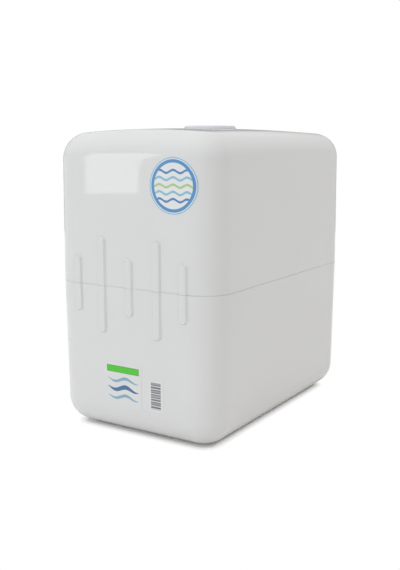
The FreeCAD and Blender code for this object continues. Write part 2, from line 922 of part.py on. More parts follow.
def tank_valve():
    """The ball valve on the tank: body, outlet, ball and lever."""
    foot = s.valve_socket + (TANK_TOP + s.port_length - VALVE_Z) * -1
    column = cylinder("valve_column", s.valve_radius, foot + s.valve_neck, 0, TANK_Y, VALVE_Z - foot)
    boss = cylinder("valve_boss", s.valve_boss_radius, s.valve_front, 0, TANK_Y, VALVE_Z, -BACK)
    socket = cylinder(
        "valve_socket_hole",
        s.port_radius + s.port_clearance,
        s.valve_socket + s.seat_gap,
        0,
        TANK_Y,
        VALVE_Z - foot,
    )
    riser = cylinder("valve_riser", s.ball_bore, foot, 0, TANK_Y, VALVE_Z - foot)
    room = s.ball_radius + s.ball_clearance
    cavity = sphere("valve_cavity", room, 0, TANK_Y, VALVE_Z)
    mouth_radius = s.ball_radius + s.seat_gap
    mouth = cylinder("valve_mouth", mouth_radius, s.valve_front, 0, TANK_Y, VALVE_Z, -BACK)
    stem_hole = cylinder(
        "valve_stem_hole", s.stem_radius + s.stem_clearance, s.valve_neck, 0, TANK_Y, VALVE_Z
    )
    solid = fuse("valve_solid", column, boss)
    valve = cut("tank_valve_body", solid, socket, riser, cavity, mouth, stem_hole)
    node(valve, "tank_valve_body")

    face = s.ball_radius + s.seat_gap
    end = s.valve_front + s.flange_thickness + s.tube_insertion
    corners = [
        (s.passage_radius, face),
        (s.ball_radius, face),
        (s.ball_radius, s.valve_front),
        (s.valve_boss_radius, s.valve_front),
        (s.valve_boss_radius, s.valve_front + s.flange_thickness),
        (s.elbow_radius, s.valve_front + s.flange_thickness),
        (s.elbow_radius, end),
        (SOCKET, end),
        (SOCKET, end - s.tube_insertion),
        (s.passage_radius, end - s.tube_insertion),
    ]
    forward = FreeCAD.Rotation(UP, -BACK)
    outlet = turned("valve_outlet", corners)
    node(place(outlet, 0, TANK_Y, VALVE_Z, forward), "valve_outlet")

    ball = sphere("ball_round", s.ball_radius, 0, TANK_Y, VALVE_Z)
    half = s.ball_radius
    flat = block(
        "ball_flat",
        (-half, TANK_Y - half, VALVE_Z + s.stem_flat),
        (half, TANK_Y + half, VALVE_Z + half + 1),
    )
    down = cylinder("ball_down", s.ball_bore, half + 1, 0, TANK_Y, VALVE_Z, -UP)
    ahead = cylinder("ball_ahead", s.ball_bore, half + 1, 0, TANK_Y, VALVE_Z, -BACK)
    node(cut("valve_ball", ball, flat, down, ahead), "valve_ball")

    top = s.valve_neck + s.seat_gap
    stem = cylinder(
        "lever_stem", s.stem_radius, top - s.stem_flat + 1, 0, TANK_Y, VALVE_Z + s.stem_flat
    )
    hub = cylinder("lever_hub", s.hub_radius, s.hub_height, 0, TANK_Y, VALVE_Z + top)
    rise = VALVE_Z + top + (s.hub_height - s.lever_thickness) / 2
    wide = s.lever_width / 2
    blade = block(
        "lever_blade",
        (-wide, TANK_Y - s.lever_length, rise),
        (wide, TANK_Y, rise + s.lever_thickness),
    )
    tip = cylinder("lever_tip", wide, s.lever_thickness, 0, TANK_Y - s.lever_length, rise)
    node(fuse("valve_lever", stem, hub, blade, tip), "valve_lever")


def cartridge(label, filling, column, row, hollow):
    """One inline cartridge with its filling."""
    w = s.cartridge_wall
    r = s.cartridge_radius
    n = s.neck_radius
    b = s.neck_bore
    length = s.cartridge_length
    low = s.neck_length + SHOULDER
    corners = [
        (b, 0),
        (n, 0),
        (n, s.neck_length),
        (r, low),
        (r, length - low),
        (n, length - s.neck_length),
        (n, length),
        (b, length),
        (b, length - s.neck_length - w),
        (n, length - s.neck_length - w),
        (r - w, length - low),
        (r - w, low),
        (n, s.neck_length + w),
        (b, s.neck_length + w),
    ]
    inner = SHOULDER - w
    shell = turned(label, corners, {2: SHOULDER, 4: SHOULDER, 9: -inner, 11: -inner})
    node(place(shell, column * COLUMN, row, CARTRIDGE_FOOT), label)
    bore = s.core_hole if hollow else 0
    reach = r - w - s.seat_gap
    fill = turned(filling, [(bore, low), (reach, low), (reach, length - low), (bore, length - low)])
    node(place(fill, column * COLUMN, row, CARTRIDGE_FOOT), filling)


def membrane():
    """The membrane housing with its cap, seal ring, membrane element and core tube."""
    x = COLUMN
    r = s.cartridge_radius
    bore = r - s.membrane_wall
    floor = s.neck_length + s.membrane_floor
    rim = s.cartridge_length - s.neck_length - s.membrane_cap_top - s.membrane_rim_drop
    corners = [
        (0, s.neck_length),
        (r, s.neck_length),
        (r, rim),
        (bore, rim),
        (bore, floor),
        (0, floor),
    ]
    can = place(turned("membrane_can", corners), x, REAR_ROW, CARTRIDGE_FOOT)
    necks = []
    holes = []
    for side in (-1, 1):
        port_x = x + side * s.membrane_port_offset
        necks.append(
            cylinder(f"can_neck_{side}", s.neck_radius, floor - 1, port_x, REAR_ROW, CARTRIDGE_FOOT)
        )
        holes.append(
            cylinder(f"can_hole_{side}", s.neck_bore, s.neck_length, port_x, REAR_ROW, CARTRIDGE_FOOT)
        )
        holes.append(
            cylinder(
                f"can_duct_{side}", s.passage_radius, floor + 1, port_x, REAR_ROW, CARTRIDGE_FOOT
            )
        )
    node(cut("membrane_housing", fuse("can_solid", can, *necks), *holes), "membrane_housing")

    top = s.cartridge_length - s.neck_length
    ceiling = top - s.membrane_cap_top
    inside = r + s.membrane_thread_gap
    corners = [
        (s.neck_bore, ceiling),
        (inside, ceiling),
        (inside, top - s.membrane_cap_height),
        (s.membrane_cap_radius, top - s.membrane_cap_height),
        (s.membrane_cap_radius, top),
        (s.neck_radius, top),
        (s.neck_radius, s.cartridge_length),
        (s.neck_bore, s.cartridge_length),
    ]
    cap = place(turned("membrane_cap_turned", corners), x, REAR_ROW, CARTRIDGE_FOOT)
    flutes = []
    for k in range(12):
        angle = math.radians(30 * k)
        flutes.append(
            cylinder(
                f"cap_flute_{k}",
                s.membrane_cap_radius / 12,
                s.membrane_cap_height + 2,
                x + (s.membrane_cap_radius + 1) * math.cos(angle),
                REAR_ROW + (s.membrane_cap_radius + 1) * math.sin(angle),
                CARTRIDGE_FOOT + top - s.membrane_cap_height - 1,
            )
        )
    node(cut("membrane_cap", cap, *flutes), "membrane_cap")

    ring = doc.addObject("Part::Torus", "membrane_ring")
    bind(ring, "Radius1", r - s.membrane_wall / 2 - s.seat_gap)
    bind(ring, "Radius2", s.ring_section)
    seat = rim + s.ring_section + s.seat_gap
    node(place(ring, x, REAR_ROW, CARTRIDGE_FOOT + seat), "membrane_ring")

    low = floor + s.element_margin
    high = rim - s.element_margin
    hole = s.core_tube_radius + s.seat_gap
    corners = [(hole, low), (s.element_radius, low), (s.element_radius, high), (hole, high)]
    element = turned("membrane_element", corners)
    node(place(element, x, REAR_ROW, CARTRIDGE_FOOT), "membrane_element")
    foot = floor + s.seat_gap
    end = high + s.element_margin / 2
    corners = [
        (s.core_tube_bore, foot),
        (s.core_tube_radius, foot),
        (s.core_tube_radius, end),
        (s.core_tube_bore, end),
    ]
    tube = turned("membrane_core_tube", corners)
    node(place(tube, x, REAR_ROW, CARTRIDGE_FOOT), "membrane_core_tube")


def bracket():
    """The plate between the two rows of cartridges, with its screws and clips."""
    half = COLUMN + s.cartridge_radius
    y = PLATE_Y
    thick = s.bracket_thickness
    plate = block(
        "bracket_plate", (-half, y, BOSS_TOP), (half, y + thick, BOSS_TOP + s.bracket_rise)
    )
    flange = block(
        "bracket_flange",
        (-half, y, BOSS_TOP),
        (half, y + thick + s.bracket_flange, BOSS_TOP + thick),
    )
    shelf_z = VALVE_Z - s.shutoff_below
    mast = block(
        "bracket_mast",
        (SHUTOFF_X - s.shutoff_radius, y, BOSS_TOP + s.bracket_rise - 1),
        (SHUTOFF_X + s.shutoff_radius, y + thick, shelf_z),
    )
    shelf = block(
        "bracket_shelf",
        (SHUTOFF_X - s.shutoff_radius, SHUTOFF_Y - s.shutoff_radius, shelf_z - thick),
        (SHUTOFF_X + s.shutoff_radius, SHUTOFF_Y + s.shutoff_radius, shelf_z),
    )
    bore = s.screw_radius + s.screw_clearance
    holes = [
        cylinder(f"bracket_hole_{k}", bore, 3 * thick, hole_x, hole_y, BOSS_TOP - thick)
        for k, (hole_x, hole_y) in enumerate(BRACKET_SCREWS, start=1)
    ]
    solid = fuse("bracket_solid", plate, flange, mast, shelf)
    node(cut("filter_bracket", solid, *holes), "filter_bracket")
    bolt = screw("bracket_screw_master", s.boss_height)
    seats = [at(hole_x, hole_y, BOSS_TOP + thick) for hole_x, hole_y in BRACKET_SCREWS]
    group("bracket_screws", bolt, seats)

    inside = s.cartridge_radius + s.seat_gap
    outside = inside + s.clip_thickness
    ring = cylinder("clip_ring", outside, s.clip_tall)
    wide = s.clip_foot_width / 2
    foot = block(
        "clip_foot", (-wide, inside, 0), (wide, s.cartridge_radius + s.clip_depth, s.clip_tall)
    )
    hole = cylinder("clip_hole", inside, s.clip_tall + 2, 0, 0, -1)
    mouth = block(
        "clip_opening", (-s.clip_mouth, -outside - 1, -1), (s.clip_mouth, -s.clip_mouth, s.clip_tall + 1)
    )
    clip = cut("clip_master", fuse("clip_solid", ring, foot), hole, mouth)
    heights = (CARTRIDGE_FOOT + s.clip_margin, CARTRIDGE_HEAD - s.clip_margin - s.clip_tall)
    about = FreeCAD.Rotation(UP, 180)
    seats = []
    for column in (-1, 0, 1):
        for height in heights:
            seats.append(at(column * COLUMN, FRONT_ROW, height))
            seats.append(at(column * COLUMN, REAR_ROW, height, about))
    group("cartridge_clips", clip, seats)


# Each elbow: the axis it stands on, whether it is at the foot, and the heading of its arm.
ELBOWS = {
    "sediment_low": (-1 * COLUMN, FRONT_ROW, True, 180),
    "sediment_high": (-1 * COLUMN, FRONT_ROW, False, 0),
    "carbon_high": (0, FRONT_ROW, False, 180),
    "carbon_low": (0, FRONT_ROW, True, 0),
    "granular_low": (COLUMN, FRONT_ROW, True, 180),
    "granular_high": (COLUMN, FRONT_ROW, False, 0),
    "membrane_high": (COLUMN, REAR_ROW, False, 0),
    "reject": (COLUMN - s.membrane_port_offset, REAR_ROW, True, 90),
    "permeate": (COLUMN + s.membrane_port_offset, REAR_ROW, True, 90),
    "post_high": (0, REAR_ROW, False, 180),
    "post_low": (0, REAR_ROW, True, 180),
    "mineral_low": (-1 * COLUMN, REAR_ROW, True, 0),
    "mineral_high": (-1 * COLUMN, REAR_ROW, False, 180),
}


def elbow_place(name):
    """Where one elbow stands, and how it is turned."""
    x, y, low, heading = ELBOWS[name]
    over = FreeCAD.Rotation(RIGHT, 180 if low else 0)
    return at(x, y, CARTRIDGE_FOOT if low else CARTRIDGE_HEAD, over, FreeCAD.Rotation(UP, heading))


def elbow_run(name):
    """The two ends of the straight stretch of tube that an elbow holds."""
    exit_x = float(s.elbow_reach + s.elbow_collet)
    rise = float(s.elbow_rise)
    where = elbow_place(name)
    inside = where.multVec(FreeCAD.Vector(exit_x - float(s.tube_insertion), 0, rise))
    outside = where.multVec(FreeCAD.Vector(exit_x, 0, rise))
    return inside, outside


def elbows():
    """The push-in elbows of the cartridges, and the rings that hold the tubes in them."""
    r = s.elbow_radius
    z = s.elbow_rise
    stem = cylinder("elbow_stem", r, z)
    corner = sphere("elbow_corner", r, 0, 0, z)
    arm = cylinder("elbow_arm", r, s.elbow_reach, 0, 0, z, RIGHT)
    spigot = cylinder("elbow_spigot_bar", s.neck_bore - 0.1, s.elbow_spigot + 1, 0, 0, -s.elbow_spigot)
    riser = cylinder(
        "elbow_riser", s.passage_radius, z + s.elbow_spigot + 1, 0, 0, -s.elbow_spigot - 1
    )
    duct = cylinder("elbow_duct", s.passage_radius, s.elbow_reach + 1, 0, 0, z, RIGHT)
    start = s.elbow_reach + s.elbow_collet - s.tube_insertion
    socket = cylinder("elbow_socket", SOCKET, s.tube_insertion, start, 0, z, RIGHT)
    master = cut("elbow_master", fuse("elbow_solid", stem, corner, arm, spigot), riser, duct, socket)
    group("cartridge_elbows", master, [elbow_place(name) for name in ELBOWS])
    ring = cylinder(
        "ring_bar", s.elbow_collet_radius, s.elbow_collet, s.elbow_reach, 0, z, RIGHT
    )
    hole = cylinder("ring_hole", SOCKET, s.elbow_collet + 2, s.elbow_reach - 1, 0, z, RIGHT)
    group("elbow_collets", cut("ring_master", ring, hole), [elbow_place(name) for name in ELBOWS])


def bulkheads():
    """The three fittings in the recess, with their nuts and release collets."""
    inside = s.wall + s.barrel_inside
    outside = s.barrel_outside
    pocket = s.collet_radius + s.collet_clearance
    corners = [
        (SOCKET, -inside),
        (s.barrel_radius, -inside),
        (s.barrel_radius, 0),
        (s.flange_radius, 0),
        (s.flange_radius, s.flange_thickness),
        (s.barrel_radius, s.flange_thickness),
        (s.barrel_radius, outside),
        (pocket, outside),
        (pocket, outside - s.collet_depth),
        (SOCKET, outside - s.collet_depth),
        (SOCKET, -2),
        (s.passage_radius, -2),
        (s.passage_radius, s.tube_insertion - inside),
        (SOCKET, s.tube_insertion - inside),
    ]
    back = FreeCAD.Rotation(RIGHT, -90)
    seats = [at(RECESS_X, RECESS_FLOOR_Y, z, back) for z in FITTING_Z]
    group("bulkhead_fittings", turned("bulkhead_master", corners), seats)

    flats = []
    for k in range(6):
        angle = math.radians(60 * k)
        flats.append((s.nut_radius * math.cos(angle), s.nut_radius * math.sin(angle)))
    hexagon = raised("nut_blank", "XY_Plane", flats, s.nut_thickness)
    hole = cylinder("nut_hole", s.barrel_radius + s.barrel_clearance, s.nut_thickness + 2, 0, 0, -1)
    nut = cut("nut_master", hexagon, hole)
    shift = s.wall + s.nut_thickness
    seats = [at(RECESS_X, RECESS_FLOOR_Y - shift, z, back) for z in FITTING_Z]
    group("bulkhead_nuts", nut, seats)

    start = outside - s.collet_depth + s.collet_travel + s.collet_stop_gap
    lip = outside + s.collet_travel + s.collet_stop_gap
    corners = [
        (s.collet_bore, start),
        (s.collet_radius, start),
        (s.collet_radius, lip),
        (s.collet_flange_radius, lip),
        (s.collet_flange_radius, lip + s.collet_flange_thickness),
        (s.collet_bore, lip + s.collet_flange_thickness),
    ]
    for label, z in zip(("drain_collet", "inlet_collet", "faucet_collet"), FITTING_Z):
        node(place(turned(label, corners), RECESS_X, RECESS_FLOOR_Y, z, back), label)


def shutoff_valve():
    """The automatic shut-off valve on the bracket's shelf."""
    x = SHUTOFF_X
    y = SHUTOFF_Y
    z = VALVE_Z
    foot = z - s.shutoff_below
    body = cylinder("shutoff_drum", s.shutoff_radius, s.shutoff_below + s.shutoff_above, x, y, foot)
    half = s.shutoff_port_pitch / 2
    arms = []
    ducts = []
    for k, (arm_x, arm_y, heading) in enumerate(
        ((x, y - half, RIGHT), (x, y + half, RIGHT), (x - half, y, BACK), (x + half, y, BACK))
    ):
        sideways = heading == RIGHT
        start = s.shutoff_reach - s.tube_insertion
        arms.append(
            cylinder(f"arm_{k}", s.shutoff_arm_radius, s.shutoff_reach, arm_x, arm_y, z, heading)
        )
        ducts.append(
            cylinder(
                f"arm_socket_{k}",
                SOCKET,
                s.tube_insertion + 1,
                arm_x + start if sideways else arm_x,
                arm_y if sideways else arm_y + start,
                z,
                heading,
            )
        )
        ducts.append(
            cylinder(f"arm_duct_{k}", s.passage_radius, s.shutoff_reach, arm_x, arm_y, z, heading)
        )
    guide = s.plunger_radius + s.plunger_clearance
    drop = s.shutoff_below - 2
    bore = cylinder("shutoff_bore", guide, drop + s.shutoff_above, x, y, z - drop)
    chamber = cylinder(
        "shutoff_room",
        s.shutoff_chamber,
        s.shutoff_chamber_depth,
        x,
        y,
        z + s.shutoff_above - s.shutoff_chamber_depth,
    )
    hole = s.screw_radius + s.screw_clearance
    circle = s.shutoff_screw_circle * math.sqrt(0.5)
    spots = [(x + a * circle, y + b * circle) for a in (-1, 1) for b in (-1, 1)]
    cover_top = z + s.shutoff_above + s.shutoff_cover
    body_holes = [
        cylinder(f"shutoff_pilot_{k}", hole, s.shutoff_above, px, py, z)
        for k, (px, py) in enumerate(spots)
    ]
    solid = fuse("shutoff_solid", body, *arms)
    node(cut("shutoff_body", solid, *ducts, bore, chamber, *body_holes), "shutoff_body")

    lid = cylinder("shutoff_lid", s.shutoff_radius, s.shutoff_cover, x, y, z + s.shutoff_above)
    room = cylinder(
        "lid_room", s.shutoff_chamber, s.shutoff_cover / 2, x, y, z + s.shutoff_above - 0.01
    )
    lid_holes = [
        cylinder(f"lid_hole_{k}", hole, s.shutoff_cover + 2, px, py, z + s.shutoff_above - 1)
        for k, (px, py) in enumerate(spots)
    ]
    node(cut("shutoff_cover", lid, room, *lid_holes), "shutoff_cover")
    bolt = screw("shutoff_screw_master", s.shutoff_cover + s.shutoff_above / 2)
    group("shutoff_screws", bolt, [at(px, py, cover_top) for px, py in spots])

    plate = s.shutoff_above - s.shutoff_chamber_depth + s.plunger_travel + s.plunger_stop_gap
    tail = plate - s.plunger_travel - s.shutoff_chamber_depth - drop / 2
    corners = [
        (0, tail),
        (s.plunger_radius, tail),
        (s.plunger_radius, plate),
        (s.shutoff_chamber - 1, plate),
        (s.shutoff_chamber - 1, plate + s.plunger_plate),
        (0, plate + s.plunger_plate),
    ]
    node(place(turned("shutoff_plunger", corners), x, y, z), "shutoff_plunger")


def tee():
    """The tee between shut-off valve, tank valve and post carbon cartridge."""
    arms = []
    holes = []
    reach = s.tee_reach
    for k, (heading, dx, dy) in enumerate(((BACK, 0, 1), (-BACK, 0, -1), (-RIGHT, -1, 0))):
        start = reach - s.tube_insertion
        arms.append(cylinder(f"tee_arm_{k}", s.tee_radius, reach, 0, TEE_Y, VALVE_Z, heading))
        holes.append(
            cylinder(
                f"tee_socket_{k}",
                SOCKET,
                s.tube_insertion + 1,
                start * dx,
                TEE_Y + start * dy,
                VALVE_Z,
                heading,
            )
        )
        holes.append(cylinder(f"tee_duct_{k}", s.passage_radius, reach, 0, TEE_Y, VALVE_Z, heading))
    node(cut("tank_tee", fuse("tee_solid", *arms), *holes), "tank_tee")


def flow_restrictor():
    """The inline restrictor in the drain line."""
    half = s.restrictor_length / 2
    waist = s.restrictor_radius
    corners = [
        (SOCKET, -half),
        (waist - 1.5, -half),
        (waist, 3 - half),
        (waist, half - 3),
        (waist - 1.5, half),
        (SOCKET, half),
        (SOCKET, half - s.tube_insertion),
        (s.passage_radius / 2, half - s.tube_insertion),
        (s.passage_radius / 2, s.tube_insertion - half),
        (SOCKET, s.tube_insertion - half),
    ]
    body = turned("flow_restrictor", corners)
    turn = FreeCAD.Rotation(UP, RIGHT)
    node(place(body, s.restrictor_x, DRAIN_LANE_Y, LOW_LINE, turn), "flow_restrictor")


def path_through(points):
    """Straight runs joined by tangent arcs, through a list of corner points."""
    edges = []
    here = points[0]
    for before, corner, after in zip(points, points[1:], points[2:]):
        arriving = (corner - before).normalize()
        leaving = (after - corner).normalize()
        half_turn = arriving.getAngle(leaving) / 2
        run = min((corner - before).Length, (after - corner).Length)
        radius = min(float(s.bend_radius), 0.45 * run / math.tan(half_turn))
        trim = radius * math.tan(half_turn)
        first = corner - arriving * trim
        last = corner + leaving * trim
        inward = (leaving - arriving).normalize()
        middle = corner + inward * (radius / math.cos(half_turn) - radius)
        edges.append(Part.LineSegment(here, first).toShape())
        edges.append(Part.Arc(first, middle, last).toShape())
        here = last
    edges.append(Part.LineSegment(here, points[-1]).toShape())
    return Part.Wire(edges)


def tube_shape(points):
    """The wall of one tube along a route."""
    path = path_through(points)
    start = points[0]
    heading = (points[1] - points[0]).normalize()
    rings = [
        Part.Wire(Part.Circle(start, heading, float(radius)).toShape())
        for radius in (s.tube_radius, s.tube_bore)
    ]
    outer, inner = (path.makePipeShell([ring], True, False) for ring in rings)
    shape = outer.cut(inner)
    section = math.pi * (float(s.tube_radius) ** 2 - float(s.tube_bore) ** 2)
    if abs(shape.Volume - section * path.Length) > 0.01 * section * path.Length:
        raise RuntimeError("a tube's volume doesn't match its section and length")
    return shape


def tube(label, *routes):
    """One node of tubing: a tube along each route."""
    shapes = [tube_shape(route) for route in routes]
    piece = doc.addObject("Part::Feature", label)
    piece.Shape = shapes[0] if len(shapes) == 1 else Part.makeCompound(shapes)
    piece.Placement = FreeCAD.Placement()
    return node(piece, label)


def tubing():
    """Every inner tube, from socket to socket."""
    grip = s.tube_insertion
    pitch = s.shutoff_port_pitch / 2
    arm_end = s.shutoff_reach

    def held(name):
        return elbow_run(name)[0]

    def across(first, last):
        return [held(first), held(last)]

    tube(
        "jumper_tubes",
        across("sediment_high", "carbon_high"),
        across("carbon_low", "granular_low"),
        across("post_low", "mineral_low"),
    )
    for label, port, side in (
        ("feed_tube", "granular_high", -1),
        ("membrane_feed_tube", "membrane_high", 1),
    ):
        y = SHUTOFF_Y + side * pitch
        tube(
            label,
            [
                held(port),
                vector(LANE_X, ELBOWS[port][1], HIGH_LINE),
                vector(LANE_X, y, VALVE_Z),
                vector(SHUTOFF_X + arm_end - grip, y, VALVE_Z),
            ],
        )
    riser_x = ELBOWS["permeate"][0]
    tube(
        "permeate_tube",
        [
            held("permeate"),
            vector(riser_x, DRAIN_LANE_Y, LOW_LINE),
            vector(riser_x, DRAIN_LANE_Y, VALVE_Z),
            vector(SHUTOFF_X + pitch, DRAIN_LANE_Y, VALVE_Z),
            vector(SHUTOFF_X + pitch, SHUTOFF_Y + arm_end - grip, VALVE_Z),
        ],
    )
    tee_grip = s.tee_reach - grip
    tube(
        "tank_tubes",
        [
            vector(0, SHUTOFF_Y + arm_end - grip, VALVE_Z),
            vector(0, TEE_Y - tee_grip, VALVE_Z),
        ],
        [
            vector(0, TEE_Y + tee_grip, VALVE_Z),
            vector(0, VALVE_EXIT_Y + grip, VALVE_Z),
        ],
    )
    loop_x = -(COLUMN - s.elbow_radius * 2.5)
    tube(
        "polish_tube",
        [
            vector(-tee_grip, TEE_Y, VALVE_Z),
            vector(loop_x, TEE_Y, VALVE_Z),
            vector(loop_x, REAR_ROW, HIGH_LINE),
            held("post_high"),
        ],
    )
    drain_z, inlet_z, faucet_z = FITTING_Z
    end_y = RECESS_FLOOR_Y - s.wall - s.barrel_inside + grip
    turn_y = end_y - grip - 15
    lane_y = turn_y - 1.1 * (LANE_X + RECESS_X)
    reject_x = ELBOWS["reject"][0]
    half = s.restrictor_length / 2
    tube(
        "reject_tube",
        [
            held("reject"),
            vector(reject_x, DRAIN_LANE_Y, LOW_LINE),
            vector(s.restrictor_x + half - grip, DRAIN_LANE_Y, LOW_LINE),
        ],
    )
    tube(
        "drain_tube",
        [
            vector(s.restrictor_x - half + grip, DRAIN_LANE_Y, LOW_LINE),
            vector(-LANE_X, DRAIN_LANE_Y, LOW_LINE),
            vector(-LANE_X, lane_y, drain_z),
            vector(RECESS_X, turn_y, drain_z),
            vector(RECESS_X, end_y, drain_z),
        ],
    )
    tube(
        "inlet_tube",
        [
            held("sediment_low"),
            vector(-LANE_X, FRONT_ROW, LOW_LINE),
            vector(-LANE_X, lane_y, inlet_z),
            vector(RECESS_X, turn_y, inlet_z),
            vector(RECESS_X, end_y, inlet_z),
        ],
    )
    tube(
        "faucet_tube",
        [
            held("mineral_high"),
            vector(-LANE_X, REAR_ROW, HIGH_LINE),
            vector(-LANE_X, REAR_ROW + COLUMN, HIGH_LINE - s.cartridge_radius),
            vector(-LANE_X, lane_y, faucet_z),
            vector(RECESS_X, turn_y, faucet_z),
            vector(RECESS_X, end_y, faucet_z),
        ],
    )


def write_parts():
    """Check every object and sub-part, then write each sub-part to its own file."""
    doc.recompute()
    for thing in doc.Objects:
        if "Invalid" in thing.State or "Error" in thing.State:
            raise RuntimeError(f"{thing.Name} failed: {thing.State}")
    for piece in nodes:
        if piece.Shape.isNull() or not piece.Shape.isValid() or not piece.Shape.Solids:
            raise RuntimeError(f"{piece.Label} has no valid solid")
    os.makedirs("parts", exist_ok=True)
    for piece in nodes:
        piece.Shape.exportStep(f"parts/{piece.Label}.step")
        print(piece.Label, len(piece.Shape.Solids), round(piece.Shape.Volume))
    print(len(nodes), "nodes")


whole_ribs = front_ribs()
upper_cover(whole_ribs)
base_shell(whole_ribs)
top_cap()
stickers()
feet()
tank()
tank_valve()
cartridge("sediment_cartridge", "sediment_core", -1, FRONT_ROW, True)
cartridge("carbon_block_cartridge", "carbon_block", 0, FRONT_ROW, True)
cartridge("granular_carbon_cartridge", "carbon_granules", 1, FRONT_ROW, False)
cartridge("post_carbon_cartridge", "post_carbon_granules", 0, REAR_ROW, False)
cartridge("mineral_cartridge", "mineral_granules", -1, REAR_ROW, False)
membrane()
bracket()
elbows()
bulkheads()
shutoff_valve()
tee()
flow_restrictor()
tubing()
write_parts()
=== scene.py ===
import logging
import math
from collections.abc import Callable
from dataclasses import dataclass
from enum import Enum

import bmesh
import bpy
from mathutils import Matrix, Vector


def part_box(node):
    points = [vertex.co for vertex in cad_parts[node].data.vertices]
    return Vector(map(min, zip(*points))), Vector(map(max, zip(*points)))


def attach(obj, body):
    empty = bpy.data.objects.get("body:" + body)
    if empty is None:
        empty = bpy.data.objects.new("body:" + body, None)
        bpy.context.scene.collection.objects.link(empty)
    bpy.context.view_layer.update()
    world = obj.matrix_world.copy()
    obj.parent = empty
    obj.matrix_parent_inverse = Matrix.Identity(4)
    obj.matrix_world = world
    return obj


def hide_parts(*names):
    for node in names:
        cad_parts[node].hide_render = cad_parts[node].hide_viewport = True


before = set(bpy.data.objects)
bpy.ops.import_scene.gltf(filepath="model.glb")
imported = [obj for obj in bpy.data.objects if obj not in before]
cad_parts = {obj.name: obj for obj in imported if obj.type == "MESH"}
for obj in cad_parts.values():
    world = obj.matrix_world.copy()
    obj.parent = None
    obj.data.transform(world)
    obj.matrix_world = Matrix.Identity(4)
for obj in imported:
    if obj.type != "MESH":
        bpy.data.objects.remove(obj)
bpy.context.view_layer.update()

# The looks of a closed-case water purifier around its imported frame.
# Everything is in metres: +Z up, the ribbed front face towards -Y, origin on the floor.
# The sizes that the sub-assemblies hold are in millimetres, and those of the studio in metres.

LOG = logging.getLogger("water_purifier")
MM = 0.001

Socket = bpy.types.NodeSocket
Tree = bpy.types.NodeTree
Values = dict[str | int, object]
Links = dict[str | int, Socket]
Pair = tuple[float, float]
Point = tuple[float, float, float]
Face = tuple[int, ...]
Outline = Callable[[float], list[Pair]]

MATH = "ShaderNodeMath"
WHITE = (1.0, 1.0, 1.0, 1.0)


def linear(hex_code: str) -> tuple[float, float, float, float]:
    """Turn an sRGB hex colour into the linear colour that a shader takes.

    Args:
        hex_code: the colour as "#rrggbb".

    Returns:
        Linear red, green and blue, with an alpha of one.
    """
    parts = [int(hex_code[k : k + 2], 16) / 255 for k in (1, 3, 5)]
    red, green, blue = (p / 12.92 if p <= 0.04045 else ((p + 0.055) / 1.055) ** 2.4 for p in parts)
    return red, green, blue, 1.0


def add_node(
    tree: Tree, kind: str, settings: Values | None = None, links: Links | None = None
) -> bpy.types.Node:
    """Add a node with its settings and links.

    Args:
        tree: the node tree that takes it.
        kind: Blender's type name for the node.
        settings: values by name; lower-case names are the node's own, others are its inputs.
        links: output sockets by the input they feed.

    Returns:
        The new node.
    """
    node = tree.nodes.new(kind)
    for name, value in (settings or {}).items():
        if isinstance(name, str) and name.islower():
            setattr(node, name, value)
        else:
            node.inputs[name].default_value = value
    for name, socket in (links or {}).items():
        tree.links.new(socket, node.inputs[name])
    return node


class Relief(Enum):
    """How the fine relief of a surface came about."""

    MOULD_GRAIN = "mould grain"
    ORANGE_PEEL = "orange peel"
    GRANULES = "granules"
    FIBRES = "fibres"
    TURNED_RINGS = "turned rings"


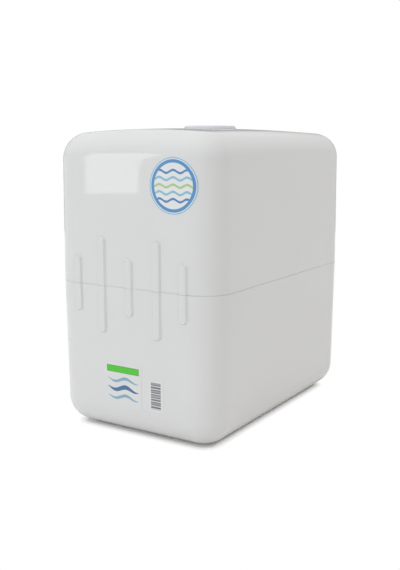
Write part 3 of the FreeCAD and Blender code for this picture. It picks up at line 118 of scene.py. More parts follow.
@dataclass(frozen=True)
class Finish:
    """One real material with the surface that its making left.

    Its colour varies towards a second one, and its roughness by the spread to either side. The
    pitch is the real spacing of the relief, and the depth how far it stands proud.
    """

    name: str
    slot: str
    colour: str
    second: str
    roughness: float
    relief: Relief
    pitch_mm: float
    depth_mm: float
    spread: float = 0.04
    blotch_mm: float = 60.0
    metallic: float = 0.0
    ior: float = 1.5
    sheen: float = 0.0
    glow: float = 0.0
    clear: float = 0.0

    # Handling leaves patches of this size in the gloss, and light gets this far into a milky wall.
    RUBBED_MM = 35.0
    GLOW_MM = 2.0
    SMOOTHEST = 0.02
    # A fibre is this many times as long as it is thick, and a grain's dome comes down to its foot
    # at this share of the pitch from its middle.
    FIBRE_LENGTH = 6.0
    DOME_END = 0.6
    # The wave texture has this many radians in a unit of its scale. Turned rings at their own pitch
    # are too fine to show, so this draws them 2 pi times as coarse.
    WAVE_RADIANS = 20.0

    def material(self) -> bpy.types.Material:
        """Build the material, or take it where it is already built.

        Returns:
            The material.
        """
        known = bpy.data.materials.get(self.name)
        if known:
            return known
        made = bpy.data.materials.new(self.name)
        made.use_nodes = True
        tree = made.node_tree
        tree.nodes.clear()
        place = add_node(tree, "ShaderNodeTexCoord").outputs["Object"]
        colour, relief = self.colour_and_relief(tree, place)
        shader = self.shader(tree, place, colour, relief)
        add_node(tree, "ShaderNodeOutputMaterial", links={"Surface": shader})
        return made

    def colour_and_relief(self, tree: Tree, place: Socket) -> tuple[Socket, Socket]:
        """Lay the texture that gives both the colour's variation and the relief.

        Args:
            tree: the material's nodes.
            place: the point on the surface, in metres.

        Returns:
            The colour and the height of the relief from 0 to 1.
        """
        fine = 1 / (self.pitch_mm * MM)
        if self.relief is Relief.GRANULES:
            cells = add_node(tree, "ShaderNodeTexVoronoi", {"Scale": fine}, {"Vector": place})
            height = add_node(
                tree, "ShaderNodeMapRange",
                {"From Max": self.DOME_END, "To Min": 1.0, "To Max": 0.0},
                {"Value": cells.outputs["Distance"]},
            ).outputs[0]
            share = add_node(
                tree, "ShaderNodeSeparateColor", links={"Color": cells.outputs["Color"]}
            ).outputs[0]
        elif self.relief is Relief.TURNED_RINGS:
            height = add_node(
                tree, "ShaderNodeTexWave",
                {"bands_direction": "Z", "Scale": fine / self.WAVE_RADIANS, "Distortion": 1.2,
                 "Detail": 2.0},
                {"Vector": place},
            ).outputs["Fac"]
            share = height
        else:
            length = self.FIBRE_LENGTH if self.relief is Relief.FIBRES else 1.0
            drawn = add_node(
                tree, "ShaderNodeMapping", {"Scale": (1.0, 1.0, length)}, {"Vector": place}
            ).outputs[0]
            detail = 3.0 if self.relief is Relief.MOULD_GRAIN else 1.0
            height = add_node(
                tree, "ShaderNodeTexNoise", {"Scale": fine, "Detail": detail}, {"Vector": drawn}
            ).outputs["Fac"]
            share = add_node(
                tree, "ShaderNodeTexNoise", {"Scale": 1 / (self.blotch_mm * MM), "Detail": 2.0},
                {"Vector": place},
            ).outputs["Fac"]
        mix = add_node(
            tree, "ShaderNodeMix",
            {"data_type": "RGBA", 6: linear(self.colour), 7: linear(self.second)}, {0: share},
        )
        return mix.outputs[2], height

    def shader(self, tree: Tree, place: Socket, colour: Socket, relief: Socket) -> Socket:
        """Put colour, roughness and relief on the surface shader.

        Args:
            tree: the material's nodes.
            place: the point on the surface, in metres.
            colour: the surface's colour.
            relief: the height of the fine relief from 0 to 1.

        Returns:
            The shader's output.
        """
        rubbed = add_node(
            tree, "ShaderNodeTexNoise", {"Scale": 1 / (self.RUBBED_MM * MM), "Detail": 2.0},
            {"Vector": place},
        )
        smooth = max(self.roughness - self.spread, self.SMOOTHEST)
        rough = add_node(
            tree, "ShaderNodeMapRange", {"To Min": smooth, "To Max": self.roughness + self.spread},
            {"Value": rubbed.outputs["Fac"]},
        )
        bump = add_node(
            tree, "ShaderNodeBump", {"Strength": 1.0, "Distance": self.depth_mm * MM},
            {"Height": relief},
        )
        return add_node(
            tree, "ShaderNodeBsdfPrincipled",
            {"Metallic": self.metallic, "IOR": self.ior, "Sheen Weight": self.sheen,
             "Subsurface Weight": self.glow, "Subsurface Scale": self.GLOW_MM * MM,
             "Transmission Weight": self.clear},
            {"Base Color": colour, "Roughness": rough.outputs[0], "Normal": bump.outputs[0]},
        ).outputs[0]


# Gloss injection-moulded ABS: a polished mould leaves a mirror-like skin with a faint long
# waviness, so lamps show in it as soft-edged panels.
CASE_ABS = Finish(
    "ABS_gloss_moulded", "case_white", "#ebebeb", "#e8e8e7", roughness=0.035, spread=0.01,
    relief=Relief.ORANGE_PEEL, pitch_mm=14.0, depth_mm=0.003, blotch_mm=90.0,
)
# The same plastic in a lavender grey, a little duller from handling.
CAP_ABS = Finish(
    "ABS_moulded_lavender_grey", "cap_grey", "#e7e6ed", "#e3e2e9", roughness=0.16,
    relief=Relief.MOULD_GRAIN, pitch_mm=1.2, depth_mm=0.006,
)
# Moulded nitrile rubber: dull, with a fine grain that kills reflections.
RUBBER = Finish(
    "nitrile_rubber_moulded", "rubber_black", "#26272a", "#2e2f31", roughness=0.62,
    relief=Relief.MOULD_GRAIN, pitch_mm=0.8, depth_mm=0.02, sheen=0.1,
)
# Zinc-plated steel: bright, with the slight cloudiness of the plating bath.
ZINC_STEEL = Finish(
    "steel_zinc_plated", "screw_steel", "#b9bcc0", "#a9adb3", roughness=0.28, spread=0.06,
    relief=Relief.MOULD_GRAIN, pitch_mm=0.6, depth_mm=0.004, blotch_mm=4.0, metallic=1.0,
)
# Powder-coated steel: baked powder flows into the rounded ripple called orange peel.
TANK_PAINT = Finish(
    "steel_powder_coated_white", "tank_paint", "#e4e6e8", "#dfe2e5", roughness=0.24,
    relief=Relief.ORANGE_PEEL, pitch_mm=2.6, depth_mm=0.05,
)
BRACKET_PAINT = Finish(
    "steel_powder_coated_grey", "bracket_paint", "#d3d5d7", "#cdd0d2", roughness=0.32,
    relief=Relief.ORANGE_PEEL, pitch_mm=2.0, depth_mm=0.04,
)
# Turned brass: the tool leaves fine rings that draw the highlight out across them.
BRASS = Finish(
    "brass_turned", "valve_brass", "#c9a45c", "#b9924a", roughness=0.26,
    relief=Relief.TURNED_RINGS, pitch_mm=0.5, depth_mm=0.01, metallic=1.0,
)
# Moulded polypropylene in black: a spark-eroded mould gives it an even satin.
CRADLE_PP = Finish(
    "polypropylene_moulded_black", "cradle_black", "#232427", "#2a2b2e", roughness=0.48,
    relief=Relief.MOULD_GRAIN, pitch_mm=0.9, depth_mm=0.03,
)
# Moulded acetal: waxy and dense, slightly translucent at its edges in white, solid in colours.
ACETAL = Finish(
    "acetal_moulded_white", "fitting_white", "#e2e2df", "#dcdcd8", roughness=0.34,
    relief=Relief.MOULD_GRAIN, pitch_mm=0.9, depth_mm=0.012, glow=0.05,
)
ACETAL_BLUE = Finish(
    "acetal_moulded_blue", "collet_blue", "#2a66b8", "#2560b0", roughness=0.32,
    relief=Relief.MOULD_GRAIN, pitch_mm=0.9, depth_mm=0.012,
)
ACETAL_GREY = Finish(
    "acetal_moulded_grey", "collet_grey", "#6f7173", "#686a6c", roughness=0.34,
    relief=Relief.MOULD_GRAIN, pitch_mm=0.9, depth_mm=0.012,
)
ACETAL_RED = Finish(
    "acetal_moulded_red", "collet_red", "#bb2b28", "#b02623", roughness=0.32,
    relief=Relief.MOULD_GRAIN, pitch_mm=0.9, depth_mm=0.012,
)
# Moulded polypropylene in blue: the satin of a part that is held and turned.
LEVER_PP = Finish(
    "polypropylene_moulded_blue", "lever_blue", "#1f5aa8", "#1b529c", roughness=0.38,
    relief=Relief.MOULD_GRAIN, pitch_mm=0.9, depth_mm=0.02,
)
# Moulded polypropylene in white: less glossy than the case, with a faint flow pattern.
CARTRIDGE_PP = Finish(
    "polypropylene_moulded_white", "cartridge_white", "#e8e9e9", "#e0e2e3", roughness=0.22,
    relief=Relief.MOULD_GRAIN, pitch_mm=1.4, depth_mm=0.015, blotch_mm=45.0, glow=0.05,
)
# The same plastic from a duller mould, so that the clips look greyer than what they hold.
CLIP_PP = Finish(
    "polypropylene_moulded_satin", "clip_white", "#dadbdb", "#d3d4d4", roughness=0.42,
    relief=Relief.MOULD_GRAIN, pitch_mm=0.9, depth_mm=0.025,
)
# Clear moulded SAN: glass-like with a faint blue, so the beads show through its wall.
CLEAR_SAN = Finish(
    "styrene_acrylonitrile_moulded_clear", "cartridge_white", "#eef5f8", "#e9f2f6",
    roughness=0.05, spread=0.015, relief=Relief.ORANGE_PEEL, pitch_mm=12.0, depth_mm=0.004,
    ior=1.57, clear=1.0,
)
# Melt-blown polypropylene fibre: matt, felted and fuzzy.
MELT_BLOWN = Finish(
    "polypropylene_melt_blown", "sediment_fibre", "#e8e5dc", "#dedacf", roughness=0.95,
    relief=Relief.FIBRES, pitch_mm=0.7, depth_mm=0.3, sheen=0.3,
)
# Coconut-shell carbon: dead black grains with small dull glints.
CARBON = Finish(
    "carbon_granules", "carbon_black", "#17181a", "#26272a", roughness=0.7,
    relief=Relief.GRANULES, pitch_mm=1.6, depth_mm=0.5,
)
# Fired ceramic and mineral beads: rounded, earthy and matt, some lighter and some darker.
BEADS = Finish(
    "ceramic_beads", "mineral_beads", "#b48c66", "#ece2d2", roughness=0.6,
    relief=Relief.MOULD_GRAIN, pitch_mm=0.6, depth_mm=0.05, blotch_mm=4.0,
)
# Wound membrane sheet under its outer wrap: smooth film with faint long wrinkles.
WOUND_FILM = Finish(
    "polyester_film_wound", "membrane_film", "#dfe3ea", "#d2d8e2", roughness=0.3,
    relief=Relief.FIBRES, pitch_mm=5.0, depth_mm=0.08,
)
# Extruded polyethylene tube: milky and soft, so light gets a little way into its wall.
TUBE_PE = Finish(
    "polyethylene_tube_extruded", "tube_white", "#e6e8ea", "#dee1e4", roughness=0.3,
    relief=Relief.ORANGE_PEEL, pitch_mm=6.0, depth_mm=0.02, glow=0.15,
)


@dataclass(frozen=True)
class PrintedFilm(Finish):
    """Printed vinyl film on a flat face that looks forwards or backwards.

    It is thin and glossy and sags a little over its glue, so its gloss ripples. The artwork is
    drawn in millimetres about the film's own centre, and takes the place of a second colour.
    """

    slot: str = "label_film"
    colour: str = "#f1f2f3"
    second: str = ""
    roughness: float = 0.2
    relief: Relief = Relief.ORANGE_PEEL
    pitch_mm: float = 9.0
    depth_mm: float = 0.006
    centre_mm: Point = (0.0, 0.0, 0.0)

    def colour_and_relief(self, tree: Tree, place: Socket) -> tuple[Socket, Socket]:
        """Print the artwork, and give the film its faint unevenness.

        Args:
            tree: the material's nodes.
            place: the point on the surface, in metres.

        Returns:
            The colour and the height of the unevenness from 0 to 1.
        """
        across, up = self.measures(tree, place)
        press = Press(tree, across, up, self.colour)
        self.artwork(press)
        unevenness = add_node(
            tree, "ShaderNodeTexNoise", {"Scale": 1 / (self.pitch_mm * MM)}, {"Vector": place}
        ).outputs["Fac"]
        return press.colour, unevenness

    def from_centre(self, tree: Tree, place: Socket) -> list[Socket]:
        """Measure how far a point is from the film's centre along each axis.

        Args:
            tree: the material's nodes.
            place: the point on the surface, in metres.

        Returns:
            The three distances, in millimetres.
        """
        axes = add_node(tree, "ShaderNodeSeparateXYZ", links={"Vector": place}).outputs
        return [
            add_node(
                tree, MATH, {"operation": "MULTIPLY_ADD", 1: 1 / MM, 2: -middle}, {0: axis}
            ).outputs[0]
            for axis, middle in zip(axes, self.centre_mm)
        ]

    def measures(self, tree: Tree, place: Socket) -> tuple[Socket, Socket]:
        """Measure across and up the film."""
        across, _, up = self.from_centre(tree, place)
        return across, up

    def artwork(self, press: "Press") -> None:
        """Draw nothing: the plain film."""


class Press:
    """Lays inks over each other with soft-edged masks, in millimetres on the film's face."""

    # Ink spreads this far to either side of an edge.
    EDGE = 0.12

    def __init__(self, tree: Tree, across: Socket, up: Socket, ground: str) -> None:
        """Start from the bare film.

        Args:
            tree: the material's nodes.
            across: millimetres to the right of the film's centre.
            up: millimetres above the film's centre.
            ground: the film's own colour.
        """
        self.tree = tree
        self.across = across
        self.up = up
        self.colour = add_node(tree, "ShaderNodeRGB").outputs[0]
        self.colour.default_value = linear(ground)

    def within(self, measure: Socket, low: float, high: float) -> Socket:
        """Mask the stretch where a measure lies between two values.

        Args:
            measure: the measured length.
            low: where the mask begins.
            high: where it ends.

        Returns:
            One inside the stretch and zero outside, with a soft edge.
        """
        tree, half = self.tree, (high - low) / 2
        shifted = add_node(
            tree, MATH, {"operation": "SUBTRACT", 1: low + half}, {0: measure}
        ).outputs[0]
        off = add_node(tree, MATH, {"operation": "ABSOLUTE"}, {0: shifted}).outputs[0]
        return add_node(
            tree, "ShaderNodeMapRange",
            {"From Min": half - self.EDGE, "From Max": half + self.EDGE, "To Min": 1.0,
             "To Max": 0.0},
            {"Value": off},
        ).outputs[0]

    def lay(self, mask: Socket, ink: str) -> None:
        """Lay an ink where a mask says.

        Args:
            mask: one where the ink goes.
            ink: its colour, as a hex code.
        """
        self.colour = add_node(
            self.tree, "ShaderNodeMix", {"data_type": "RGBA", 7: linear(ink)},
            {0: mask, 6: self.colour},
        ).outputs[2]

    def box(self, left: float, right: float, low: float, high: float) -> Socket:
        """Mask an upright rectangle."""
        return self.both(self.within(self.across, left, right), self.within(self.up, low, high))

    def both(self, first: Socket, second: Socket) -> Socket:
        """Mask where two masks meet."""
        met = add_node(self.tree, MATH, {"operation": "MULTIPLY"}, {0: first, 1: second})
        return met.outputs[0]

    def away(self, across: float = 0.0, up: float = 0.0) -> Socket:
        """Measure the distance from a point of the film.

        Args:
            across: the point's place across.
            up: the point's height.

        Returns:
            The distance in millimetres.
        """
        flat = add_node(
            self.tree, "ShaderNodeCombineXYZ", links={"X": self.across, "Y": self.up}
        ).outputs[0]
        return add_node(
            self.tree, "ShaderNodeVectorMath", {"operation": "DISTANCE", 1: (across, up, 0.0)},
            {0: flat},
        ).outputs["Value"]

    def wave(
        self, middle: float, half: float, swing: float, length: float, phase: float, reach: float
    ) -> Socket:
        """Mask a wavy band that runs out to a point at both ends.

        Args:
            middle: the height of the band's own centreline.
            half: half its thickness at the middle of the film.
            swing: how far it rises and falls.
            length: the length of one wave.
            phase: where in the wave it starts, in radians.
            reach: how far out its ends lie.

        Returns:
            The mask.
        """
        tree = self.tree
        angle = add_node(
            tree, MATH, {"operation": "MULTIPLY_ADD", 1: 2 * math.pi / length, 2: phase},
            {0: self.across},
        ).outputs[0]
        sine = add_node(tree, MATH, {"operation": "SINE"}, {0: angle}).outputs[0]
        line = add_node(
            tree, MATH, {"operation": "MULTIPLY_ADD", 1: swing, 2: middle}, {0: sine}
        ).outputs[0]
        above = add_node(tree, MATH, {"operation": "SUBTRACT"}, {0: self.up, 1: line}).outputs[0]
        off = add_node(tree, MATH, {"operation": "ABSOLUTE"}, {0: above}).outputs[0]
        share = add_node(
            tree, MATH, {"operation": "DIVIDE", 1: reach}, {0: self.across}
        ).outputs[0]
        squared = add_node(tree, MATH, {"operation": "MULTIPLY"}, {0: share, 1: share}).outputs[0]
        widened = add_node(
            tree, MATH, {"operation": "MULTIPLY_ADD", 1: half}, {0: squared, 2: off}
        ).outputs[0]
        return self.within(widened, -half, half)


@dataclass(frozen=True)
class BadgePrint(PrintedFilm):
    """Round badge: a broad and a narrow ring round a field of even ripples.

    The ripples' reach is far past the field, so that they keep their thickness across it.
    """

    field: float = 29.0
    ring: float = 33.2
    rim: Pair = (34.4, 35.7)
    ripple_pitch: float = 9.0
    inks: tuple[str, ...] = ("#5a8dc6", "#92c8e0", "#b4d596", "#92c8e0", "#5a8dc6")

    def artwork(self, press: Press) -> None:
        """Draw the ripples from edge to edge of the field, and the two rings.

        Args:
            press: lays the inks.
        """
        field = press.within(press.away(), -self.field, self.field)
        for k, ink in enumerate(self.inks):
            middle = (len(self.inks) // 2 - k) * self.ripple_pitch
            ripple = press.wave(middle, half=1.5, swing=1.9, length=21.0, phase=1.57, reach=600.0)
            press.lay(press.both(ripple, field), ink)
        press.lay(press.within(press.away(), self.field, self.ring), "#5b99d0")
        press.lay(press.within(press.away(), *self.rim), "#84c3e4")


@dataclass(frozen=True)
class LabelPrint(PrintedFilm):
    """Lower label: a green band with a darker rim, and three level waves under it."""

    half_width: float = 27.0
    band: Pair = (16.5, 26.0)
    rim: float = 0.8
    waves: tuple[tuple[float, float, str], ...] = (
        (6.5, 2.2, "#8fb6cc"),
        (-5.5, 3.2, "#4a7aa6"),
        (-17.5, 2.2, "#8fb6cc"),
    )

    def artwork(self, press: Press) -> None:
        """Draw the band and the waves.

        Args:
            press: lays the inks.
        """
        low, high = self.band
        for inset, ink in ((0.0, "#3fa526"), (self.rim, "#52d22e")):
            half = self.half_width - inset
            press.lay(press.box(-half, half, low + inset, high - inset), ink)
        for middle, half, ink in self.waves:
            wave = press.wave(
                middle, half, swing=2.6, length=36.0, phase=0.8, reach=self.half_width
            )
            press.lay(wave, ink)


@dataclass(frozen=True)
class BarPrint(PrintedFilm):
    """Bar sticker: level lines of two greys set by a formula, which stand for nothing.

    Each step up the stack turns on by the golden angle, in radians, so that no run repeats.
    """

    module_mm: float = 1.3
    turn: float = 2.399963
    half_width: float = 8.0
    half_height: float = 18.5
    pale: Pair = (-0.75, 0.1)
    dark: Pair = (0.1, 2.0)

    def artwork(self, press: Press) -> None:
        """Draw the stack of lines.

        Args:
            press: lays the inks.
        """
        tree = press.tree
        place = add_node(
            tree, MATH, {"operation": "DIVIDE", 1: self.module_mm}, {0: press.up}
        ).outputs[0]
        step = add_node(tree, MATH, {"operation": "FLOOR"}, {0: place}).outputs[0]
        turn = add_node(tree, MATH, {"operation": "MULTIPLY", 1: self.turn}, {0: step}).outputs[0]
        pick = add_node(tree, MATH, {"operation": "SINE"}, {0: turn}).outputs[0]
        stack = press.box(-self.half_width, self.half_width, -self.half_height, self.half_height)
        for span, ink in ((self.pale, "#a9abae"), (self.dark, "#75787c")):
            press.lay(press.both(press.within(pick, *span), stack), ink)


@dataclass(frozen=True)
class WrapPrint(PrintedFilm):
    """Film round an upright cylinder, with bands, an arrow for the flow and squares for its stage.

    The two upper bands are counted down from the film's top, the lower band and the squares up
    from its foot, and the arrow from its middle. The arrow's head is cut by its two slopes, and
    the other end of that mask lies so low that it cuts nothing.
    """

    band: str = "#2d7fc1"
    squares: int = 1
    radius: float = 31.3
    facing: float = 0.0
    tall: float = 110.0
    broad_drops: Pair = (5.0, 14.0)
    fine_drops: Pair = (16.5, 18.0)
    foot_band: Pair = (5.0, 8.0)
    stem_half: float = 2.0
    stem_foot: float = -14.0
    head_foot: float = 6.0
    head_tip: float = 18.0
    head_slope: float = 0.55
    head_unbound: float = -60.0
    square: float = 4.0
    square_pitch: float = 6.5
    square_foot: float = 16.0

    def measures(self, tree: Tree, place: Socket) -> tuple[Socket, Socket]:
        """Measure round the cylinder from the side that it faces, and up it.

        Args:
            tree: the material's nodes.
            place: the point on the surface, in metres.

        Returns:
            Millimetres round the cylinder, and up it.
        """
        right, back, up = self.from_centre(tree, place)
        front = add_node(tree, MATH, {"operation": "MULTIPLY", 1: -1.0}, {0: back}).outputs[0]
        angle = add_node(tree, MATH, {"operation": "ARCTAN2"}, {0: right, 1: front}).outputs[0]
        start = -self.radius * math.radians(self.facing)
        across = add_node(
            tree, MATH, {"operation": "MULTIPLY_ADD", 1: self.radius, 2: start}, {0: angle}
        ).outputs[0]
        return across, up

    def artwork(self, press: Press) -> None:
        """Draw the three bands, the arrow and the squares.

        Args:
            press: lays the inks.
        """
        tree, round_it, half = press.tree, 4.0 * self.radius, self.tall / 2
        for near, far in (self.broad_drops, self.fine_drops):
            press.lay(press.box(-round_it, round_it, half - far, half - near), self.band)
        low, high = self.foot_band
        press.lay(press.box(-round_it, round_it, low - half, high - half), self.band)
        stem = press.box(-self.stem_half, self.stem_half, self.stem_foot, self.head_foot)
        press.lay(stem, self.band)
        off = add_node(tree, MATH, {"operation": "ABSOLUTE"}, {0: press.across}).outputs[0]
        slope = add_node(
            tree, MATH, {"operation": "MULTIPLY_ADD", 1: self.head_slope}, {0: press.up, 2: off}
        ).outputs[0]
        sides = press.within(slope, self.head_unbound, self.head_slope * self.head_tip)
        head = press.within(press.up, self.head_foot, self.head_tip)
        press.lay(press.both(sides, head), self.band)
        foot = self.square_foot - half
        first = (self.square_pitch - self.square) / 2 - self.square_pitch / 2 * self.squares
        for k in range(self.squares):
            left = self.square_pitch * k + first
            press.lay(press.box(left, left + self.square, foot, foot + self.square), self.band)


@dataclass(frozen=True)
class TankPrint(WrapPrint):
    """Film on the tank's side: a band, a wave and two thin rules."""

    band_half: float = 80.0
    band_heights: Pair = (14.0, 26.0)
    rules: tuple[tuple[float, float, float, float], ...] = (
        (-52.0, 52.0, -16.0, -15.0),
        (-52.0, 20.0, -21.0, -20.0),
    )

    def artwork(self, press: Press) -> None:
        """Draw the band, the wave and the rules.

        Args:
            press: lays the inks.
        """
        press.lay(press.box(-self.band_half, self.band_half, *self.band_heights), self.band)
        wave = press.wave(-2.0, half=3.6, swing=3.2, length=54.0, phase=0.6, reach=58.0)
        press.lay(wave, "#7fb4da")
        for rule in self.rules:
            press.lay(press.box(*rule), "#8f9396")


@dataclass(frozen=True)
class MarkPrint(PrintedFilm):
    """Strip beside the connections: one round mark for each, in the colour of its collet."""

    marks: tuple[tuple[float, str], ...] = ()
    spot: float = 3.2
    ring: Pair = (4.2, 4.8)

    def artwork(self, press: Press) -> None:
        """Draw the marks, each with a thin ring.

        Args:
            press: lays the inks.
        """
        for height, ink in self.marks:
            away = press.away(0.0, height)
            press.lay(press.within(away, -self.spot, self.spot), ink)
            press.lay(press.within(away, *self.ring), ink)


def box_mm(name: str) -> tuple[Vector, Vector]:
    """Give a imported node's lowest and highest corners in millimetres."""
    low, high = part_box(name)
    return Vector(low) / MM, Vector(high) / MM


def middle_mm(name: str) -> Point:
    """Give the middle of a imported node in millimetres."""
    low, high = box_mm(name)
    return tuple((low + high) / 2)


# Printed vinyl, whitest where the badge is and as pale as the case on the label.
BADGE_VINYL = BadgePrint(
    "vinyl_film_printed_badge", "badge_film", "#f0f2f2", roughness=0.12,
    centre_mm=middle_mm("round_badge"),
)
LABEL_VINYL = LabelPrint(
    "vinyl_film_printed_label", colour="#ebebeb", roughness=0.14,
    centre_mm=middle_mm("front_label"),
)
BAR_VINYL = BarPrint(
    "vinyl_film_printed_bars", colour="#eeeeee", roughness=0.18, centre_mm=middle_mm("bar_label")
)


@dataclass
class Form:
    """A mesh in the making, in millimetres."""

    points: list[Point]
    faces: list[Face]

    @classmethod
    def ring(cls, outline: Outline, profile: list[Pair], closed: bool = True) -> "Form":
        """Carry a closed profile round an outline.

        Args:
            outline: gives the outline's points for each reach of the profile.
            profile: the profile's corners, each with its reach and its height.
            closed: whether the outline comes back to its start.

        Returns:
            The closed form.
        """
        points = [(x, y, z) for reach, z in profile for x, y in outline(reach)]
        count, rows = len(outline(profile[0][0])), len(profile)
        faces: list[Face] = []
        for row in range(rows):
            below, above = row * count, (row + 1) % rows * count
            for k in range(count if closed else count - 1):
                after = (k + 1) % count
                faces.append((below + k, below + after, above + after, above + k))
        if not closed:
            faces.append(tuple(row * count for row in range(rows)))
            faces.append(tuple(row * count + count - 1 for row in range(rows)))
        return cls(points, faces)


def round_outline(
    x: float, y: float, start: float = 0.0, sweep: float = 360.0, steps: int = 96
) -> Outline:
    """Give a circle, or an arc of one, about an upright axis.

    Args:
        x: the axis's place across.
        y: the axis's place along.
        start: where the arc starts, in degrees from straight in front.
        sweep: how far it goes, counted to the right.
        steps: the number of its runs.

    Returns:
        A function from the radius to the points.
    """
    last = steps if sweep >= 360.0 else steps + 1
    turns = [math.radians(start + sweep * k / steps) for k in range(last)]
    return lambda radius: [
        (x + radius * math.sin(turn), y - radius * math.cos(turn)) for turn in turns
    ]


@dataclass(frozen=True)
class WeldBead:
    """A weld bead round an upright cylinder: how broad it is, how proud and how deeply rooted.

    Its round goes from its crest to the given turn on either side, in degrees.
    """

    half: float
    proud: float
    root: float
    turn: float
    steps: int

    def profile(self, radius: float, middle: float) -> list[Pair]:
        """Give the bead's profile on a cylinder.

        Args:
            radius: the cylinder's radius.
            middle: the bead's height.

        Returns:
            The profile's corners, each with its reach and its height.
        """
        points = [(radius - self.root, middle - self.half)]
        for k in range(self.steps + 1):
            turn = math.radians(2 * self.turn * k / self.steps - self.turn)
            reach = radius + self.proud * math.cos(turn)
            points.append((reach, middle + self.half * math.sin(turn)))
        points.append((radius - self.root, middle + self.half))
        return points


def make_piece(
    name: str,
    form: Form,
    finish: Finish,
    body: str = "case",
    stands_for: tuple[str, ...] = (),
    crease: float = 35.0,
) -> None:
    """Make a piece, dress it and let it ride on its body.

    Args:
        name: what it is called.
        form: its mesh in millimetres.
        finish: what it is made of.
        body: the body that it moves with.
        stands_for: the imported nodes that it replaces.
        crease: the turn in degrees from which an edge shows as sharp.
    """
    mesh = bpy.data.meshes.new(name)
    mesh.from_pydata([Vector(point) * MM for point in form.points], [], form.faces)
    work = bmesh.new()
    work.from_mesh(mesh)
    bmesh.ops.recalc_face_normals(work, faces=work.faces)
    for face in work.faces:
        face.smooth = True
    for edge in work.edges:
        edge.smooth = edge.calc_face_angle(0.0) < math.radians(crease)
    work.to_mesh(mesh)
    work.free()
    mesh.materials.append(finish.material())
    piece = bpy.data.objects.new(name, mesh)
    bpy.context.scene.collection.objects.link(piece)
    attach(piece, body)
    if stands_for:
        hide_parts(*stands_for)
    LOG.info("%s: %s, %d faces", name, finish.name, len(mesh.polygons))


def dress(finish: Finish, *names: str) -> None:
    """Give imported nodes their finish.

    Args:
        finish: what they are made of.
        names: the nodes' names.
    """
    material = finish.material()
    for name in names:
        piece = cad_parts[name]
        piece.data.materials.clear()
        piece.data.materials.append(material)
        LOG.info("%s is %s", name, finish.name)


@dataclass
class Case:
    """The two shells, the cap with its seal, the feet and the stickers."""

    depth: float = 406.0
    corner: float = 42.0
    corner_steps: int = 14
    rib_places: tuple[float, ...] = (-86.0, -45.0, 0.0, 45.0, 86.0)
    rib_width: float = 14.0
    rib_proud: float = 3.0
    rib_slope: float = 36.0
    seam_gap: float = 0.8
    lip_inset: float = 0.65
    lip_thickness: float = 0.35
    lip_clearance: float = 0.06
    lip_root: float = 0.5

    def build(self) -> None:
        """Dress the case and lay the lip in its seam."""
        dress(CASE_ABS, "upper_cover", "base_shell")
        dress(CAP_ABS, "top_cap")
        dress(RUBBER, "cap_seal", "rubber_feet")
        dress(ZINC_STEEL, "foot_screws")
        dress(BADGE_VINYL, "round_badge")
        dress(LABEL_VINYL, "front_label")
        dress(BAR_VINYL, "bar_label")
        self.lay_lip()

    def outline(self, inset: float) -> list[Pair]:
        """Give the case's outline at the seam with its ribs.

        Args:
            inset: how far the outline is drawn in.

        Returns:
            The outline's points, anticlockwise as seen from above.
        """
        high = box_mm("upper_cover")[1]
        half_x, half_y = high.x - inset, self.depth / 2 - inset
        middle = high.y - self.depth / 2
        radius = self.corner - inset
        slope = math.radians(self.rib_slope)
        foot = self.rib_width / 2 - inset * (1 - math.sin(slope)) / math.cos(slope)
        crest = foot - self.rib_proud * math.tan(slope)
        rib = ((-foot, 0.0), (-crest, self.rib_proud), (crest, self.rib_proud), (foot, 0.0))
        points = []
        for side, end, first in ((1, 1, 0), (-1, 1, 90), (-1, -1, 180), (1, -1, 270)):
            if first == 270:
                points += [
                    (x + off, middle - half_y - out) for x in self.rib_places for off, out in rib
                ]
            for k in range(self.corner_steps + 1):
                turn = math.radians(first + 90 * k / self.corner_steps)
                points.append((
                    side * (half_x - radius) + radius * math.cos(turn),
                    middle + end * (half_y - radius) + radius * math.sin(turn),
                ))
        return points

    def lay_lip(self) -> None:
        """Lay the cover's inner lip, which closes the seam just behind its edge."""
        seam_top = box_mm("upper_cover")[0].z
        foot, head = seam_top - self.seam_gap + self.lip_clearance, seam_top + self.lip_root
        near, far = self.lip_inset, self.lip_inset + self.lip_thickness
        profile = [(near, foot), (near, head), (far, head), (far, foot)]
        make_piece("seam_lip", Form.ring(self.outline, profile), CASE_ABS, "cover")


